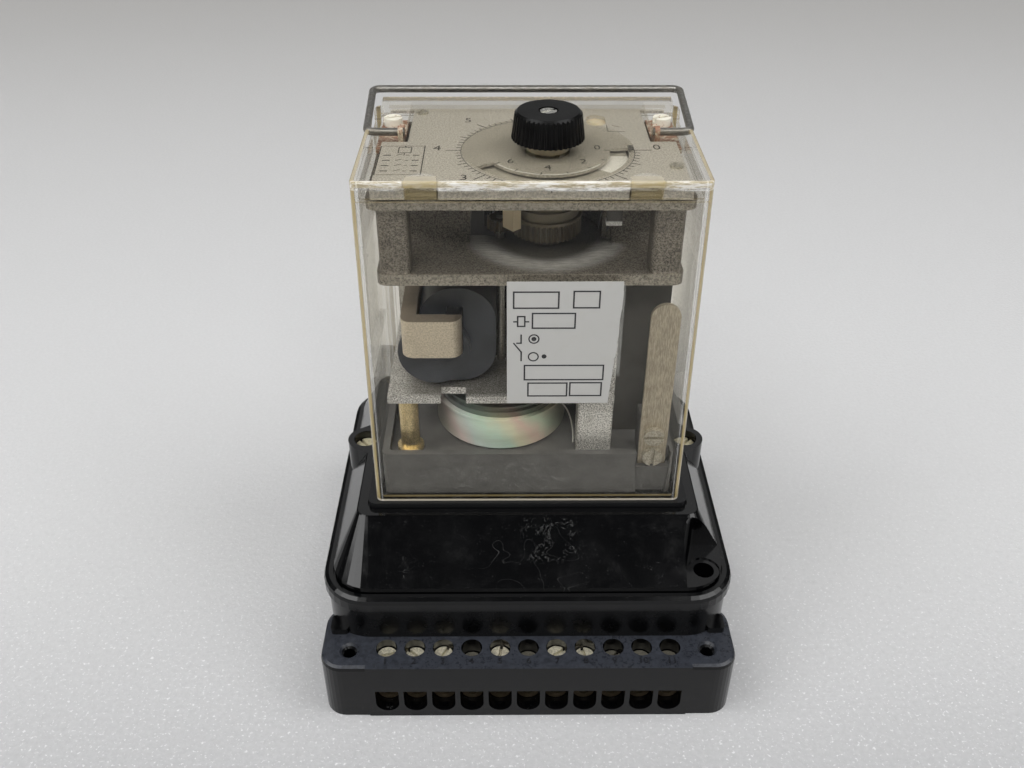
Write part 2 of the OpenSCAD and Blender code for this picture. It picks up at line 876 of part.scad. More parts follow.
module rating_label() {
    color("#eceff0")
        translate([label_x, cover_front, cover_top])
            rotate([-cover_draft, 0, 0])
                translate([0, -label_t - 0.01, label_z - cover_top])
                    cube([label_w, label_t, label_h]);
}

function unit(v) = v / norm(v);

// Round bar along a flat route of points, with round bends of one radius. The bends
// are a hair fuller than the bar, and the straights run a little way into them.
module bent_bar(points, r, bend) {
    last = len(points) - 1;
    swell = 0.01;
    reach = 0.1;
    function turn_at(i) = (i == 0 || i == last) ? 0 :
        let (a = unit(points[i] - points[i - 1]), b = unit(points[i + 1] - points[i]))
            atan2(a[0] * b[1] - a[1] * b[0], a * b);
    function trim_at(i) = bend * tan(abs(turn_at(i)) / 2);
    for (i = [0 : last - 1]) {
        along = unit(points[i + 1] - points[i]);
        from = points[i] + (i == 0 ? 0 : trim_at(i) - reach) * along;
        to = points[i + 1] - (i + 1 == last ? 0 : trim_at(i + 1) - reach) * along;
        translate([from[0], from[1], 0])
            rotate([0, 90, atan2(along[1], along[0])])
                cylinder(r = r, h = norm(to - from));
    }
    for (i = [1 : last - 1]) {
        along = unit(points[i] - points[i - 1]);
        side = turn_at(i) > 0 ? 1 : -1;
        centre = points[i] - trim_at(i) * along + side * bend * [-along[1], along[0]];
        heading = atan2(along[1], along[0]);
        translate([centre[0], centre[1], 0])
            rotate([0, 0, side > 0 ? heading - 90 : heading + 90 + turn_at(i)])
                rotate_extrude(angle = abs(turn_at(i)))
                    translate([bend, 0])
                        circle(r + swell);
    }
}

module bail() {
    arm_front = bail_w_front / 2;
    arm_rear = bail_w_rear / 2;
    color("#9a9b97")
        translate([0, pin_y, pin_z])
            bent_bar([
                [-pin_inner_x, 0], [-arm_front, 0], [-arm_rear, bail_l],
                [arm_rear, bail_l], [arm_front, 0], [pin_inner_x, 0]
            ], bail_r, bail_bend);
}

module bail_brackets() {
    lug_r = pin_y - pocket_front - 0.1;
    foot_front = pin_y - 2.6;
    color("#8a6a4c")
        mirrored_x()
            difference() {
                union() {
                    translate([bracket_x, foot_front, frame_top])
                        cube([bracket_w, bracket_rear - foot_front, bracket_t]);
                    translate([bracket_x, pin_y - lug_r, frame_top])
                        cube([bracket_t, 8, pin_z - frame_top]);
                    translate([bracket_x, pin_y, pin_z])
                        rotate([0, 90, 0])
                            cylinder(r = lug_r, h = bracket_t);
                }
                translate([bracket_x - 1, pin_y, pin_z])
                    rotate([0, 90, 0])
                        cylinder(r = bail_r + run_fit, h = bracket_t + 2);
                translate([bracket_screw_x, bracket_screw_y, frame_top])
                    bored(bracket_screw_d + 2 * slip_fit, bracket_t);
            }
}

module bracket_screws() {
    color("#e2dcc0")
        for (x = [-1, 1])
            translate([x * bracket_screw_x, bracket_screw_y, frame_top + bracket_t])
                slotted_screw(bracket_head_d, bracket_head_h, bracket_screw_d, bracket_t + 4, 20);
}

module at_axis(z) {
    translate([axis_x, axis_y, z])
        children();
}

module knob() {
    flute_r = 0.5;
    chamfer = 0.8;
    lean = atan((knob_d - knob_top_d) / 2 / knob_h);
    color("#17181a")
        at_axis(knob_z)
            difference() {
                union() {
                    cylinder(d1 = knob_d, d2 = knob_top_d, h = knob_h - chamfer);
                    translate([0, 0, knob_h - chamfer - eps])
                        cylinder(d1 = knob_top_d, d2 = knob_top_d - 2 * chamfer, h = chamfer);
                }
                for (i = [0 : flute_count - 1])
                    rotate([0, 0, i * 360 / flute_count])
                        translate([knob_d / 2 + 0.18, 0, -1])
                            rotate([0, -lean, 0])
                                cylinder(r = flute_r, h = knob_h + 3, $fn = 16);
                translate([0, 0, knob_h - knob_recess_h])
                    cylinder(d = knob_recess_d, h = knob_h);
                bored(spindle_d + 2 * run_fit, knob_bore_depth);
                bored(2.4, knob_h);
            }
}

module knob_screw() {
    color("#c9c9c4")
        at_axis(knob_z + knob_h - knob_recess_h)
            slotted_screw(4.6, 1, 2, knob_h - knob_recess_h - knob_bore_depth, 35);
}

module knob_collar() {
    color("#efe6cb")
        at_axis(collar_z)
            difference() {
                cylinder(d = collar_d, h = knob_z - collar_z);
                bored(spindle_d + 2 * run_fit, knob_z - collar_z);
            }
}

module index_disc() {
    color("#e6e8de", 0.4)
        at_axis(disc_z)
            difference() {
                cylinder(r = disc_r, h = disc_t, $fn = 96);
                bored(spindle_d + 2 * run_fit, disc_t);
            }
}

module setting_spindle() {
    color("#a9a9a4")
        at_axis(spindle_bottom)
            cylinder(d = spindle_d, h = knob_z + knob_bore_depth - spindle_bottom);
}

// Cam that trips the contacts, on the spindle below the upper frame
module setting_cam() {
    color("#ded6b8")
        at_axis(spindle_bottom + 1)
            difference() {
                union() {
                    cylinder(r = cam_r, h = cam_t);
                    cylinder(r = cam_r / 2, h = cam_t + 2);
                }
                translate([cam_r - 1.6, -1.5, -1])
                    cube([4, 3, cam_t + 4]);
                bored(spindle_d + 2 * run_fit, cam_t + 2);
            }
}

module dial_plate() {
    side_w = cover_w - 2 * cover_wall - 2 * rebate_w - 0.8;
    dial_front = cover_front + cover_wall + 0.5;
    dial_rear = cover_y + cover_d / 2 - cover_wall - 1;
    slot_x = pocket_x - 0.6;
    color("#b9b6a8")
        difference() {
            union() {
                translate([-side_w / 2, dial_front, dial_top - dial_t])
                    cube([side_w, dial_rear - dial_front, dial_t]);
                translate([-side_w / 2, dial_front, dial_top - dial_lip_h])
                    cube([side_w, dial_t, dial_lip_h]);
            }
            at_axis(dial_top - dial_t)
                dial_windows();
            mirrored_x()
                translate([slot_x, pocket_front - 1.6, dial_top - dial_t - 1])
                    cube([20, pocket_rear - pocket_front + 2.4, 4]);
            for (x = rib_x)
                translate([x, cover_front + cover_wall, dial_top - dial_lip_h - 1])
                    cylinder(r = rib_r + 0.5, h = dial_lip_h + 2);
            for (p = dial_screw_places())
                translate([p[0], p[1], dial_top - dial_t])
                    bored(dial_screw_d + 2 * slip_fit, dial_t);
        }
}

function dial_boss_pair(side) = [
    [side * dial_boss_x, dial_boss_front], [-side * (pocket_x - 3.2), pocket_rear - 1.6]
];
function dial_screw_places() = dial_boss_pair(1);
function dial_boss_places() = concat(dial_boss_pair(1), dial_boss_pair(-1));

// Collar hole, arc window over the pointer, and the adjusting slot at the rear
module dial_windows() {
    arc_from = 4;
    arc_to = -150;
    translate([0, 0, -1])
        linear_extrude(dial_t + 2) {
            circle(r = collar_d / 2 + 0.4);
            polygon(concat(
                sector(window_r_in, arc_from, arc_to, 22),
                sector(window_r_out, arc_to, arc_from, 28)
            ));
            dial_slot(dial_slot_d);
        }
}

module dial_slot(d) {
    translate([dial_slot_x, dial_slot_y]) {
        square([d, dial_slot_l], center = true);
        for (y = [-1, 1])
            translate([0, y * dial_slot_l / 2])
                circle(d = d);
    }
}

// Pad that fills the view through the dial's rear slot
module dial_pad() {
    color("#e9e1c6")
        at_axis(frame_top)
            linear_extrude(dial_boss_h - 0.3)
                dial_slot(dial_slot_d + 0.6);
}

module dial_screws() {
    color("#c4c0b2")
        for (p = dial_screw_places())
            translate([p[0], p[1], dial_top])
                slotted_screw(dial_head_d, dial_head_h, dial_screw_d, dial_t + dial_screw_reach, 70);
}

module upper_frame() {
    color("#8f9091")
        difference() {
            union() {
                frame_plate(roof_bottom, frame_top_t, 0);
                frame_plate(frame_bottom, frame_floor_t, 1.5);
                mirrored_x()
                    frame_post();
                frame_wall();
                for (p = dial_boss_places())
                    translate([p[0], p[1], frame_top - eps])
                        cylinder(d = dial_boss_d, h = dial_boss_h + eps);
                at_axis(floor_top - 2)
                    cylinder(d = bearing_d, h = gear_z - floor_top + 2);
            }
            floor_dish();
            at_axis(frame_bottom)
                bored(spindle_d + 2 * run_fit, frame_h);
            at_axis(roof_bottom)
                bored(sleeve_d + 1.2, frame_top_t);
            translate([motor_x, axis_y, frame_bottom])
                bored(drive_d + 2 * run_fit, frame_floor_t);
            mirrored_x()
                translate([bracket_screw_x, bracket_screw_y, frame_top - 4.4])
                    cylinder(d = bracket_screw_d + 2 * run_fit, h = 6);
            for (p = dial_screw_places())
                translate([p[0], p[1], frame_top])
                    cylinder(d = dial_screw_d + 2 * run_fit, h = dial_boss_h + dial_screw_reach);
        }
}

module frame_plate(z, t, inset) {
    translate([0, (frame_front + frame_rear) / 2, z])
        slab(frame_w - 2 * inset, frame_d, frame_r, t);
}

module frame_post() {
    post_w = 8.6;
    post_depth = 9;
    outer = frame_w / 2 - 2.6;
    translate([outer - post_w / 2, frame_front + 0.6 + post_depth / 2, floor_top - eps])
        slab(post_w, post_depth, 1.6, roof_bottom - floor_top + 2 * eps);
}

// Rear wall of the recess: straight sides, and a round bay behind the gear
module frame_wall() {
    wall_t = 2.5;
    wall_y = axis_y - 3.2;
    left_end = -frame_w / 2 + 2.6;
    window_left = motor_x - 8.8;
    bay_outer = pocket_r + wall_t;
    bay_start = asin(3.2 / pocket_r);
    h = roof_bottom - floor_top + 2 * eps;
    translate([0, 0, floor_top - eps])
        linear_extrude(h) {
            translate([left_end, wall_y])
                square([window_left - left_end, wall_t]);
            translate([axis_x + pocket_r * cos(bay_start), wall_y])
                square([-left_end - axis_x - pocket_r * cos(bay_start), wall_t]);
            translate([axis_x, axis_y])
                polygon(concat(
                    sector(bay_outer, -bay_start, 164, 30),
                    sector(pocket_r, 164, -bay_start, 30)
                ));
        }
    frame_cove(left_end, window_left, wall_y);
    frame_cove(axis_x + bay_outer, -left_end, wall_y);
}

// Concave fillet from the floor up into the straight wall
module frame_cove(x0, x1, wall_y) {
    cove_r = 6;
    translate([x0, wall_y - cove_r, floor_top - eps])
        difference() {
            cube([x1 - x0, cove_r + eps, cove_r]);
            translate([-1, 0, cove_r])
                rotate([0, 90, 0])
                    cylinder(r = cove_r, h = x1 - x0 + 2);
        }
}

// Shallow round dish in the floor below the gear
module floor_dish() {
    dish_r = pocket_r + 1.9;
    dish_depth = 1.7;
    ball_r = (dish_r * dish_r + dish_depth * dish_depth) / (2 * dish_depth);
    difference() {
        at_axis(floor_top + ball_r - dish_depth)
            intersection() {
                sphere(r = ball_r, $fn = 128);
                translate([0, 0, -ball_r])
                    cylinder(r = dish_r, h = dish_depth + 0.2);
            }
        at_axis(floor_top - dish_depth - 1)
            cylinder(d = bearing_d, h = dish_depth + 2);
    }
}

module timing_gear() {
    color("#e6dfc8")
        difference() {
            at_axis(gear_z) {
                linear_extrude(gear_t)
                    gear_outline(gear_teeth, gear_module, 0);
                translate([0, 0, gear_t])
                    cylinder(r = gear_tip_r + 0.15, h = 0.8);
                translate([0, 0, gear_t + 0.8])
                    cylinder(r = gear_tip_r - 0.7, h = shroud_h - 0.8);
                translate([0, 0, gear_t + shroud_h])
                    cylinder(r1 = gear_tip_r - 1.6, r2 = hub_d / 2 + 3, h = 4.6);
                cylinder(d = sleeve_d, h = flag_z + flag_t - gear_z);
                gear_tab();
            }
            at_axis(gear_z)
                bored(spindle_d + 2 * run_fit, flag_z + flag_t - gear_z);
        }
}

// Striker tab that hangs beside the gear
module gear_tab() {
    tab_w = 4.4;
    tab_t = 3;
    arm_z = gear_t + shroud_h + 2;
    rotate([0, 0, tab_angle]) {
        translate([tab_r - tab_t / 2, -tab_w / 2, tab_z - gear_z])
            cube([tab_t, tab_w, arm_z + 1.8 - (tab_z - gear_z)]);
        translate([0, -tab_w / 2, arm_z])
            cube([tab_r + tab_t / 2, tab_w, 1.8]);
    }
}

// Pointer disc seen through the dial's arc window, with a white sector
module elapsed_pointer() {
    color("#d8d6cc")
        at_axis(flag_z)
            difference() {
                cylinder(r = window_r_out - 0.3, h = flag_t, $fn = 96);
                bored(sleeve_d + 2 * run_fit, flag_t);
            }
}

module drive_pinion() {
    color("#c9a24a")
        translate([motor_x, axis_y, gear_z + 0.1])
            difference() {
                linear_extrude(pinion_t)
                    gear_outline(pinion_teeth, gear_module, 180 / pinion_teeth);
                bored(drive_d + 2 * run_fit, pinion_t);
            }
}

module drive_shaft() {
    lid_top = tray_floor + can_h + lid_h;
    color("#b0b0ab")
        translate([motor_x, axis_y, lid_top])
            cylinder(d = drive_d, h = gear_z + 0.1 + pinion_t - lid_top);
}

module stop_spring() {
    strip_w = 4.5;
    strip_t = 0.6;
    strip_h = 10.4;
    color("#d5d5d0")
        translate([axis_x + 16.4, axis_y - 13.4, roof_bottom - strip_h]) {
            cube([strip_w, strip_t, strip_h]);
            cube([strip_w, 4, strip_t]);
        }
}

module lower_frame() {
    pillar_top = frame_bottom - tray_floor;
    color("#97989a")
        difference() {
            union() {
                translate([plate_left, plate_front, plate_z])
                    cube([plate_right - plate_left, plate_rear - plate_front, plate_t]);
                translate([pillar_x + pillar_w / 2, plate_front + pillar_d / 2, tray_floor])
                    slab(pillar_w, pillar_d, 1, pillar_top);
            }
            translate([plate_notch_x, plate_front - 1, plate_z - 1])
                cube([plate_notch_w, plate_notch_d + 1, plate_t + 2]);
            translate([contact_panel_x - free_gap, plate_front + pillar_d + free_gap, plate_z - 1])
                cube([pillar_w, plate_rear, plate_t + 2]);
            translate([motor_x, axis_y, plate_z])
                bored(drive_d + 1, plate_t);
            translate([-column_x, column_y, plate_z])
                bored(column_d + 2 * slip_fit, plate_t);
        }
}

module brass_post() {
    color("#c8a850")
        translate([post_x, post_y, tray_floor]) {
            cylinder(d = post_foot_d, h = post_foot_h);
            cylinder(d = post_d, h = plate_z - tray_floor);
        }
}

module rear_columns() {
    color("#a3a3a0")
        for (x = [-1, 1])
            translate([x * column_x, column_y, tray_floor])
                cylinder(d = column_d, h = frame_bottom - tray_floor);
}

module motor_can() {
    bead = 0.5;
    bead_h = 1;
    color("#b5b48c")
        translate([motor_x, axis_y, tray_floor])
            rotate_extrude($fn = 96)
                polygon([
                    [0, 0], [motor_r - 1, 0], [motor_r, 1], [motor_r, can_h - bead_h],
                    [motor_r + bead, can_h - bead_h], [motor_r + bead, can_h], [0, can_h]
                ]);
}

// Stepped lid, with the two rings that show above the can's rim
module motor_lid() {
    step = 1.1;
    ring_t = 0.8;
    color("#c6c8b4")
        translate([motor_x, axis_y, tray_floor + can_h])
            rotate_extrude($fn = 96)
                polygon([
                    [0, 0], [motor_r - step, 0], [motor_r - step, 1.8], [motor_r - 2 * step, 1.8],
                    [motor_r - 2 * step, 3], [motor_r - 3 * step, 3], [motor_r - 3 * step, 3 - ring_t],
                    [5, 3 - ring_t], [5, lid_h], [0, lid_h]
                ]);
}

// U-shaped yoke: one leg is the coil's core, the other passes outside it
module magnet_yoke() {
    bend = 3.6;
    color("#c2bdb0")
        translate([yoke_x + yoke_w / 2, yoke_front + yoke_l / 2, yoke_z])
            linear_extrude(yoke_h)
                difference() {
                    union() {
                        rounded(yoke_w, yoke_l, bend);
                        translate([-yoke_w / 2, 0])
                            square([yoke_w, yoke_l / 2]);
                    }
                    translate([-yoke_w / 2 + yoke_t, -yoke_l / 2 + yoke_t])
                        square([yoke_w - 2 * yoke_t, yoke_l]);
                }
}

// Clearance around the yoke's legs, through the pieces that they pass
module yoke_legs(clear) {
    for (x = [yoke_x, yoke_x + yoke_w - yoke_t])
        translate([x - clear, yoke_front + yoke_t + 0.1, yoke_z - clear])
            cube([yoke_t + 2 * clear, yoke_l, yoke_h + 2 * clear]);
}

module coil_bobbin() {
    color("#2a2c2f")
        difference() {
            translate([cheek_x, 0, cheek_z])
                along_y(coil_front, cheek_t)
                    circle(cheek_r);
            yoke_legs(slip_fit);
        }
}

module coil_winding() {
    winding_front = coil_front + cheek_t;
    color("#33363a")
        difference() {
            translate([coil_x, 0, coil_z])
                along_y(winding_front, bracket_y - winding_front)
                    rounded(coil_w, coil_h, coil_corner);
            yoke_legs(slip_fit);
        }
}

module magnet_bracket() {
    color("#a8a8a2")
        difference() {
            union() {
                translate([magnet_plate_left, bracket_y, plate_top])
                    cube([magnet_plate_right - magnet_plate_left, magnet_plate_t, magnet_plate_h]);
                translate([magnet_plate_left, bracket_y, plate_top])
                    cube([magnet_plate_right - magnet_plate_left, magnet_foot_d, magnet_plate_t]);
            }
            yoke_legs(run_fit);
            translate([hinge_x, hinge_y, plate_top])
                bored(hinge_d + 2 * run_fit, magnet_plate_t);
        }
}

module armature() {
    arm_z = yoke_z - 0.6;
    arm_h = yoke_h + 1.2;
    color("#b2ada0")
        difference() {
            union() {
                translate([hinge_x, hinge_y, arm_z])
                    cylinder(r = knuckle_r, h = arm_h);
                translate([hinge_x, armature_y, arm_z])
                    cube([yoke_x + yoke_w + 1 - hinge_x, armature_t, arm_h]);
            }
            translate([hinge_x, hinge_y, arm_z])
                bored(hinge_d + 2 * run_fit, arm_h);
        }
}

module armature_pin() {
    pin_l = yoke_z + yoke_h + 2 - plate_top;
    color("#8c8c88")
        translate([hinge_x, hinge_y, plate_top]) {
            cylinder(d = hinge_d, h = pin_l);
            translate([0, 0, magnet_plate_t + eps])
                cylinder(d = hinge_d + 2, h = yoke_z - 0.8 - plate_top - magnet_plate_t);
        }
}

module back_panel() {
    color("#3a3d42")
        translate([-back_panel_w / 2, back_panel_y, tray_floor])
            cube([back_panel_w, back_panel_t, frame_bottom - tray_floor - 1]);
}

module contact_panel() {
    color("#4b5057")
        translate([contact_panel_x, contact_panel_y, tray_floor])
            cube([contact_panel_w, panel_t, contact_panel_h]);
}

module contact_block() {
    block_x = leaf_x[0] - 3;
    block_w = leaf_x[2] + 3 - block_x;
    color("#2c2e31")
        difference() {
            translate([block_x, contact_block_y, tray_floor])
                cube([block_w, contact_block_d, contact_block_h]);
            for (x = leaf_x)
                translate([x - leaf_t / 2 - run_fit, contact_block_y + 1.5 - run_fit, tray_floor + 3])
                    cube([leaf_t + 2 * run_fit, leaf_w + 2 * run_fit, contact_block_h]);
        }
}

// Leaf springs that stand in the contact block, each with a round contact
module contact_springs() {
    foot = contact_block_h - 6;
    color("#c4a85e")
        for (x = leaf_x)
            translate([x, contact_block_y + 1.5, tray_floor + 3]) {
                translate([-leaf_t / 2, 0, 0])
                    cube([leaf_t, leaf_w, leaf_h + foot]);
                translate([0, leaf_w / 2, leaf_h + foot - 4])
                    rotate([0, 90, 0])
                        cylinder(d = contact_d, h = contact_t);
            }
}

module contact_strap() {
    color("#b9b2a0")
        difference() {
            translate([strap_x, 0, strap_bottom])
                along_y(strap_seat_y - strap_t, strap_t) {
                    translate([-strap_w / 2, 0])
                        square([strap_w, strap_l - strap_w / 2]);
                    translate([0, strap_l - strap_w / 2])
                        circle(d = strap_w);
                }
            for (z = strap_screw_z)
                translate([strap_x, strap_seat_y - strap_t - 1, strap_bottom + z])
                    rotate([-90, 0, 0])
                        cylinder(d = strap_screw_d + 2 * run_fit, h = strap_t + 2);
        }
}

module strap_screws() {
    color("#cbc6b6")
        for (i = [0, 1])
            translate([strap_x, strap_seat_y - strap_t, strap_bottom + strap_screw_z[i]])
                rotate([90, 0, 0])
                    slotted_screw(strap_head_d, strap_head_h, strap_screw_d, strap_t + 5, i == 0 ? 90 : 0);
}

terminal_base();
terminal_blocks();
terminal_screws();
socket_clips();
plinth();
plinth_screws();
relay_base();
plug_plate();
plug_blades();
cover();
rating_label();
bail();
bail_brackets();
bracket_screws();
knob();
knob_screw();
knob_collar();
index_disc();
setting_spindle();
setting_cam();
dial_plate();
dial_screws();
dial_pad();
upper_frame();
timing_gear();
elapsed_pointer();
drive_pinion();
drive_shaft();
stop_spring();
lower_frame();
brass_post();
rear_columns();
motor_can();
motor_lid();
magnet_yoke();
coil_bobbin();
coil_winding();
magnet_bracket();
armature();
armature_pin();
back_panel();
contact_panel();
contact_block();
contact_springs();
contact_strap();
strap_screws();
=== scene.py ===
"""Looks of a plug-in time relay: finishes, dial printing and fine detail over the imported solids."""

from __future__ import annotations

import logging
import math
import random
from dataclasses import dataclass
from enum import Enum
from typing import Any, Callable, Iterable, Sequence, Union

import bmesh
import bpy
from mathutils import Matrix, Vector

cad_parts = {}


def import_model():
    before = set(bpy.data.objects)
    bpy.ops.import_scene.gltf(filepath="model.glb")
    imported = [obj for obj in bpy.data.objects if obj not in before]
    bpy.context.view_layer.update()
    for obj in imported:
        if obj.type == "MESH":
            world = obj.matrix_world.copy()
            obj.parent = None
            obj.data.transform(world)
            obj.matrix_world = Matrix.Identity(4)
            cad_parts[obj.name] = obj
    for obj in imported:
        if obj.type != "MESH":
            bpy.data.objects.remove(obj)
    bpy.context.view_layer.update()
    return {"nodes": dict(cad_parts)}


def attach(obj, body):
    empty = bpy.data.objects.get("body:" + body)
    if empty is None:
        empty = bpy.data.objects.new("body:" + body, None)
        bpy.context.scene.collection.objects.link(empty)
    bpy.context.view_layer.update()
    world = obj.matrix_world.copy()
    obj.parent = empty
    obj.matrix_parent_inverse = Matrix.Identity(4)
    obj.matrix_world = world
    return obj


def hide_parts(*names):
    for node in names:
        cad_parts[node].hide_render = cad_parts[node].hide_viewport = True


LOG = logging.getLogger("time_relay")
MM = 0.001

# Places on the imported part, in millimetres
SHELF_TOP = 22.8
DIAL_AXIS = (5.1, 6.7)
DIAL_TOP = 162.0
COVER_TOP = 165.0
COVER_FRONT = -22.8

# Lean of the cover's walls in degrees, and a digit's height as a share of its font's size
COVER_LEAN = 0.5
DIGIT_SHARE = 0.72

Operand = Union["Value", float, int]
Colour = tuple[float, float, float]
Point = Sequence[float]
Spot = tuple[float, float]
Options = dict[Any, Any]
Socket = bpy.types.NodeSocket
Object = bpy.types.Object
Material = bpy.types.Material
Mesh = bpy.types.Mesh

# The rays that see the pale horizon
SEEN_BY = ("Camera", "Glossy", "Transmission")

WHITE: Colour = (1.0, 1.0, 1.0)
DUST: Colour = (0.42, 0.42, 0.41)


def shaded(colour: Colour, gain: float, lift: float = 0.0) -> Colour:
    """A colour made lighter or darker, at most 1."""
    return tuple(min(1.0, part * gain + lift) for part in colour)


class Pattern(Enum):
    """How a metal's surface is textured."""

    PLAIN = "plain"
    BRUSHED = "brushed"
    CAST = "cast"


class Nodes:
    """A node tree to which one call adds a node with its settings and inputs."""

    def __init__(self, tree: bpy.types.NodeTree) -> None:
        """Keeps the tree."""
        self.tree = tree

    def node(self, kind: str, settings: Options | None = None, inputs: Options | None = None) -> Any:
        """Adds a node, sets it up and connects it.

        Args:
            kind: The node's type.
            settings: Properties to set first; "stops" fills a colour ramp.
            inputs: Values or links by socket name or number.

        Returns:
            The node.
        """
        made = self.tree.nodes.new(kind)
        for key, setting in (settings or {}).items():
            if key == "stops":
                ramp = made.color_ramp
                while len(ramp.elements) < len(setting):
                    ramp.elements.new(0.5)
                for element, (at, colour) in zip(ramp.elements, setting):
                    element.position = at
                    element.color = (*colour, 1.0)
            else:
                setattr(made, key, setting)
        for key, given in (inputs or {}).items():
            given = given.socket if isinstance(given, Value) else given
            if isinstance(given, Socket):
                self.tree.links.new(given, made.inputs[key])
            else:
                made.inputs[key].default_value = given
        return made

    def value(
        self, kind: str, settings: Options | None = None, inputs: Options | None = None, output: Any = 0
    ) -> Value:
        """Adds a node and takes one output as a number."""
        return Value(self, self.node(kind, settings, inputs).outputs[output])


def operator(operation: str, swapped: bool = False) -> Callable[[Value, Operand], Value]:
    """A method of Value that adds one Math node on two values.

    Args:
        operation: The Math node's operation.
        swapped: Whether the other value comes first, as in a reflected form.

    Returns:
        The method.
    """

    def method(self: Value, other: Operand) -> Value:
        """Adds the node and takes its result."""
        first, second = (other, self) if swapped else (self, other)
        return self.nodes.value("ShaderNodeMath", {"operation": operation}, {0: first, 1: second})

    return method


class Value:
    """A node's output that takes part in plain arithmetic."""

    __add__, __radd__ = operator("ADD"), operator("ADD", True)
    __sub__, __rsub__ = operator("SUBTRACT"), operator("SUBTRACT", True)
    __mul__, __rmul__ = operator("MULTIPLY"), operator("MULTIPLY", True)
    __truediv__, __rtruediv__ = operator("DIVIDE"), operator("DIVIDE", True)
    __pow__, __rpow__ = operator("POWER"), operator("POWER", True)
    __mod__, __rmod__ = operator("MODULO"), operator("MODULO", True)
    least, most, below = operator("MINIMUM"), operator("MAXIMUM"), operator("LESS_THAN")

    def __init__(self, nodes: Nodes, socket: Socket) -> None:
        """Keeps the node tree and the output that holds the number."""
        self.nodes = nodes
        self.socket = socket

    def apply(self, function: str) -> Value:
        """Result of a Math node on this value alone, such as its cosine."""
        return self.nodes.value("ShaderNodeMath", {"operation": function}, {0: self})

    def size(self) -> Value:
        """Absolute value."""
        return self.apply("ABSOLUTE")

    def rise(self, low: float, high: float) -> Value:
        """Smooth step from 0 at low to 1 at high; low may be the larger.

        Args:
            low: Where the step starts.
            high: Where the step ends.

        Returns:
            The step's value, from 0 to 1.
        """
        if low > high:
            return 1.0 - self.rise(high, low)
        inputs = {"Value": self, "From Min": low, "From Max": high}
        return self.nodes.value("ShaderNodeMapRange", {"interpolation_type": "SMOOTHSTEP"}, inputs)

    def band(self, centre: float, half: float, soft: float) -> Value:
        """1 within half of centre, falling to 0 over soft."""
        return (self - centre).size().rise(half + soft, half)


def distance(u: Value, v: Value) -> Value:
    """Length of a flat vector."""
    return (u ** 2.0 + v ** 2.0) ** 0.5


class Graph(Nodes):
    """One material's nodes, with positions in millimetres."""

    def __init__(self, name: str) -> None:
        """Makes the material.

        Args:
            name: The material's name.
        """
        self.material = bpy.data.materials.new(name)
        self.material.use_nodes = True
        super().__init__(self.material.node_tree)
        self.tree.nodes.clear()
        self.output = self.node("ShaderNodeOutputMaterial")
        metres = self.node("ShaderNodeTexCoord").outputs["Object"]
        scaled = self.node("ShaderNodeVectorMath", {"operation": "SCALE"}, {0: metres, "Scale": 1 / MM})
        self.place = scaled.outputs[0]
        axes = self.node("ShaderNodeSeparateXYZ", {}, {0: self.place})
        self.x, self.y, self.z = (Value(self, axis) for axis in axes.outputs)

    def noise(
        self,
        size_mm: float,
        detail: float = 3.0,
        rough: float = 0.55,
        stretch: Point | None = None,
        turn: Point = (0.0, 0.0, 0.0),
        warp: float = 0.0,
    ) -> Value:
        """Noise around 0.5.

        Args:
            size_mm: Size of its patches.
            detail: Octaves.
            rough: Strength of the finer octaves.
            stretch: Stretch along each axis, above 1 for longer patches.
            turn: Rotation of the stretch in degrees.
            warp: Distortion.

        Returns:
            The noise.
        """
        place = self.place
        if stretch is not None:
            scale, angles = [1 / s for s in stretch], [math.radians(a) for a in turn]
            inputs = {"Vector": place, "Scale": scale, "Rotation": angles}
            place = self.node("ShaderNodeMapping", {}, inputs).outputs[0]
        inputs = {"Vector": place, "Scale": 1 / size_mm, "Detail": detail, "Roughness": rough, "Distortion": warp}
        return self.value("ShaderNodeTexNoise", {}, inputs)

    def specks(self, spacing_mm: float, size: float) -> Value:
        """Round specks, 1 at a speck's middle.

        Args:
            spacing_mm: Mean distance between cells.
            size: Share of a cell that its speck fills.

        Returns:
            The specks' mask.
        """
        inputs = {"Vector": self.place, "Scale": 1 / spacing_mm}
        return self.value("ShaderNodeTexVoronoi", {}, inputs, "Distance").rise(size, size * 0.4)

    def facing_up(self) -> Value:
        """1 on surfaces that look up, 0 on walls."""
        normal = self.node("ShaderNodeNewGeometry").outputs["Normal"]
        return self.value("ShaderNodeSeparateXYZ", {}, {0: normal}, "Z").rise(0.2, 0.9)

    def mix(self, share: Operand, low: Any, high: Any) -> Socket:
        """Blends two colours.

        Args:
            share: 0 gives low, 1 gives high.
            low: A colour or a link.
            high: A colour or a link.

        Returns:
            The blended colour.
        """
        low, high = ((*c, 1.0) if isinstance(c, tuple) else c for c in (low, high))
        return self.node("ShaderNodeMix", {"data_type": "RGBA"}, {0: share, 6: low, 7: high}).outputs[2]

    def bump(self, height: Value, distance_mm: float) -> Socket:
        """Normal from a height in the range of 0 to 1."""
        inputs = {"Height": height, "Distance": distance_mm * MM, "Strength": 1.0}
        return self.node("ShaderNodeBump", {}, inputs).outputs[0]

    def principled(self, **sockets: Any) -> Any:
        """Adds a Principled shader, its values given by socket name with underscores for spaces."""
        inputs = {name.replace("_", " "): given for name, given in sockets.items()}
        return self.node("ShaderNodeBsdfPrincipled", {}, inputs)

    def blend(self, share: Value, low: Any, high: Any) -> Any:
        """Adds a Mix Shader between two shaders."""
        return self.node("ShaderNodeMixShader", {}, {0: share, 1: low.outputs[0], 2: high.outputs[0]})

    def finish(self, shader: Any) -> Material:
        """Connects the surface and returns the material."""
        self.tree.links.new(shader.outputs[0], self.output.inputs["Surface"])
        return self.material


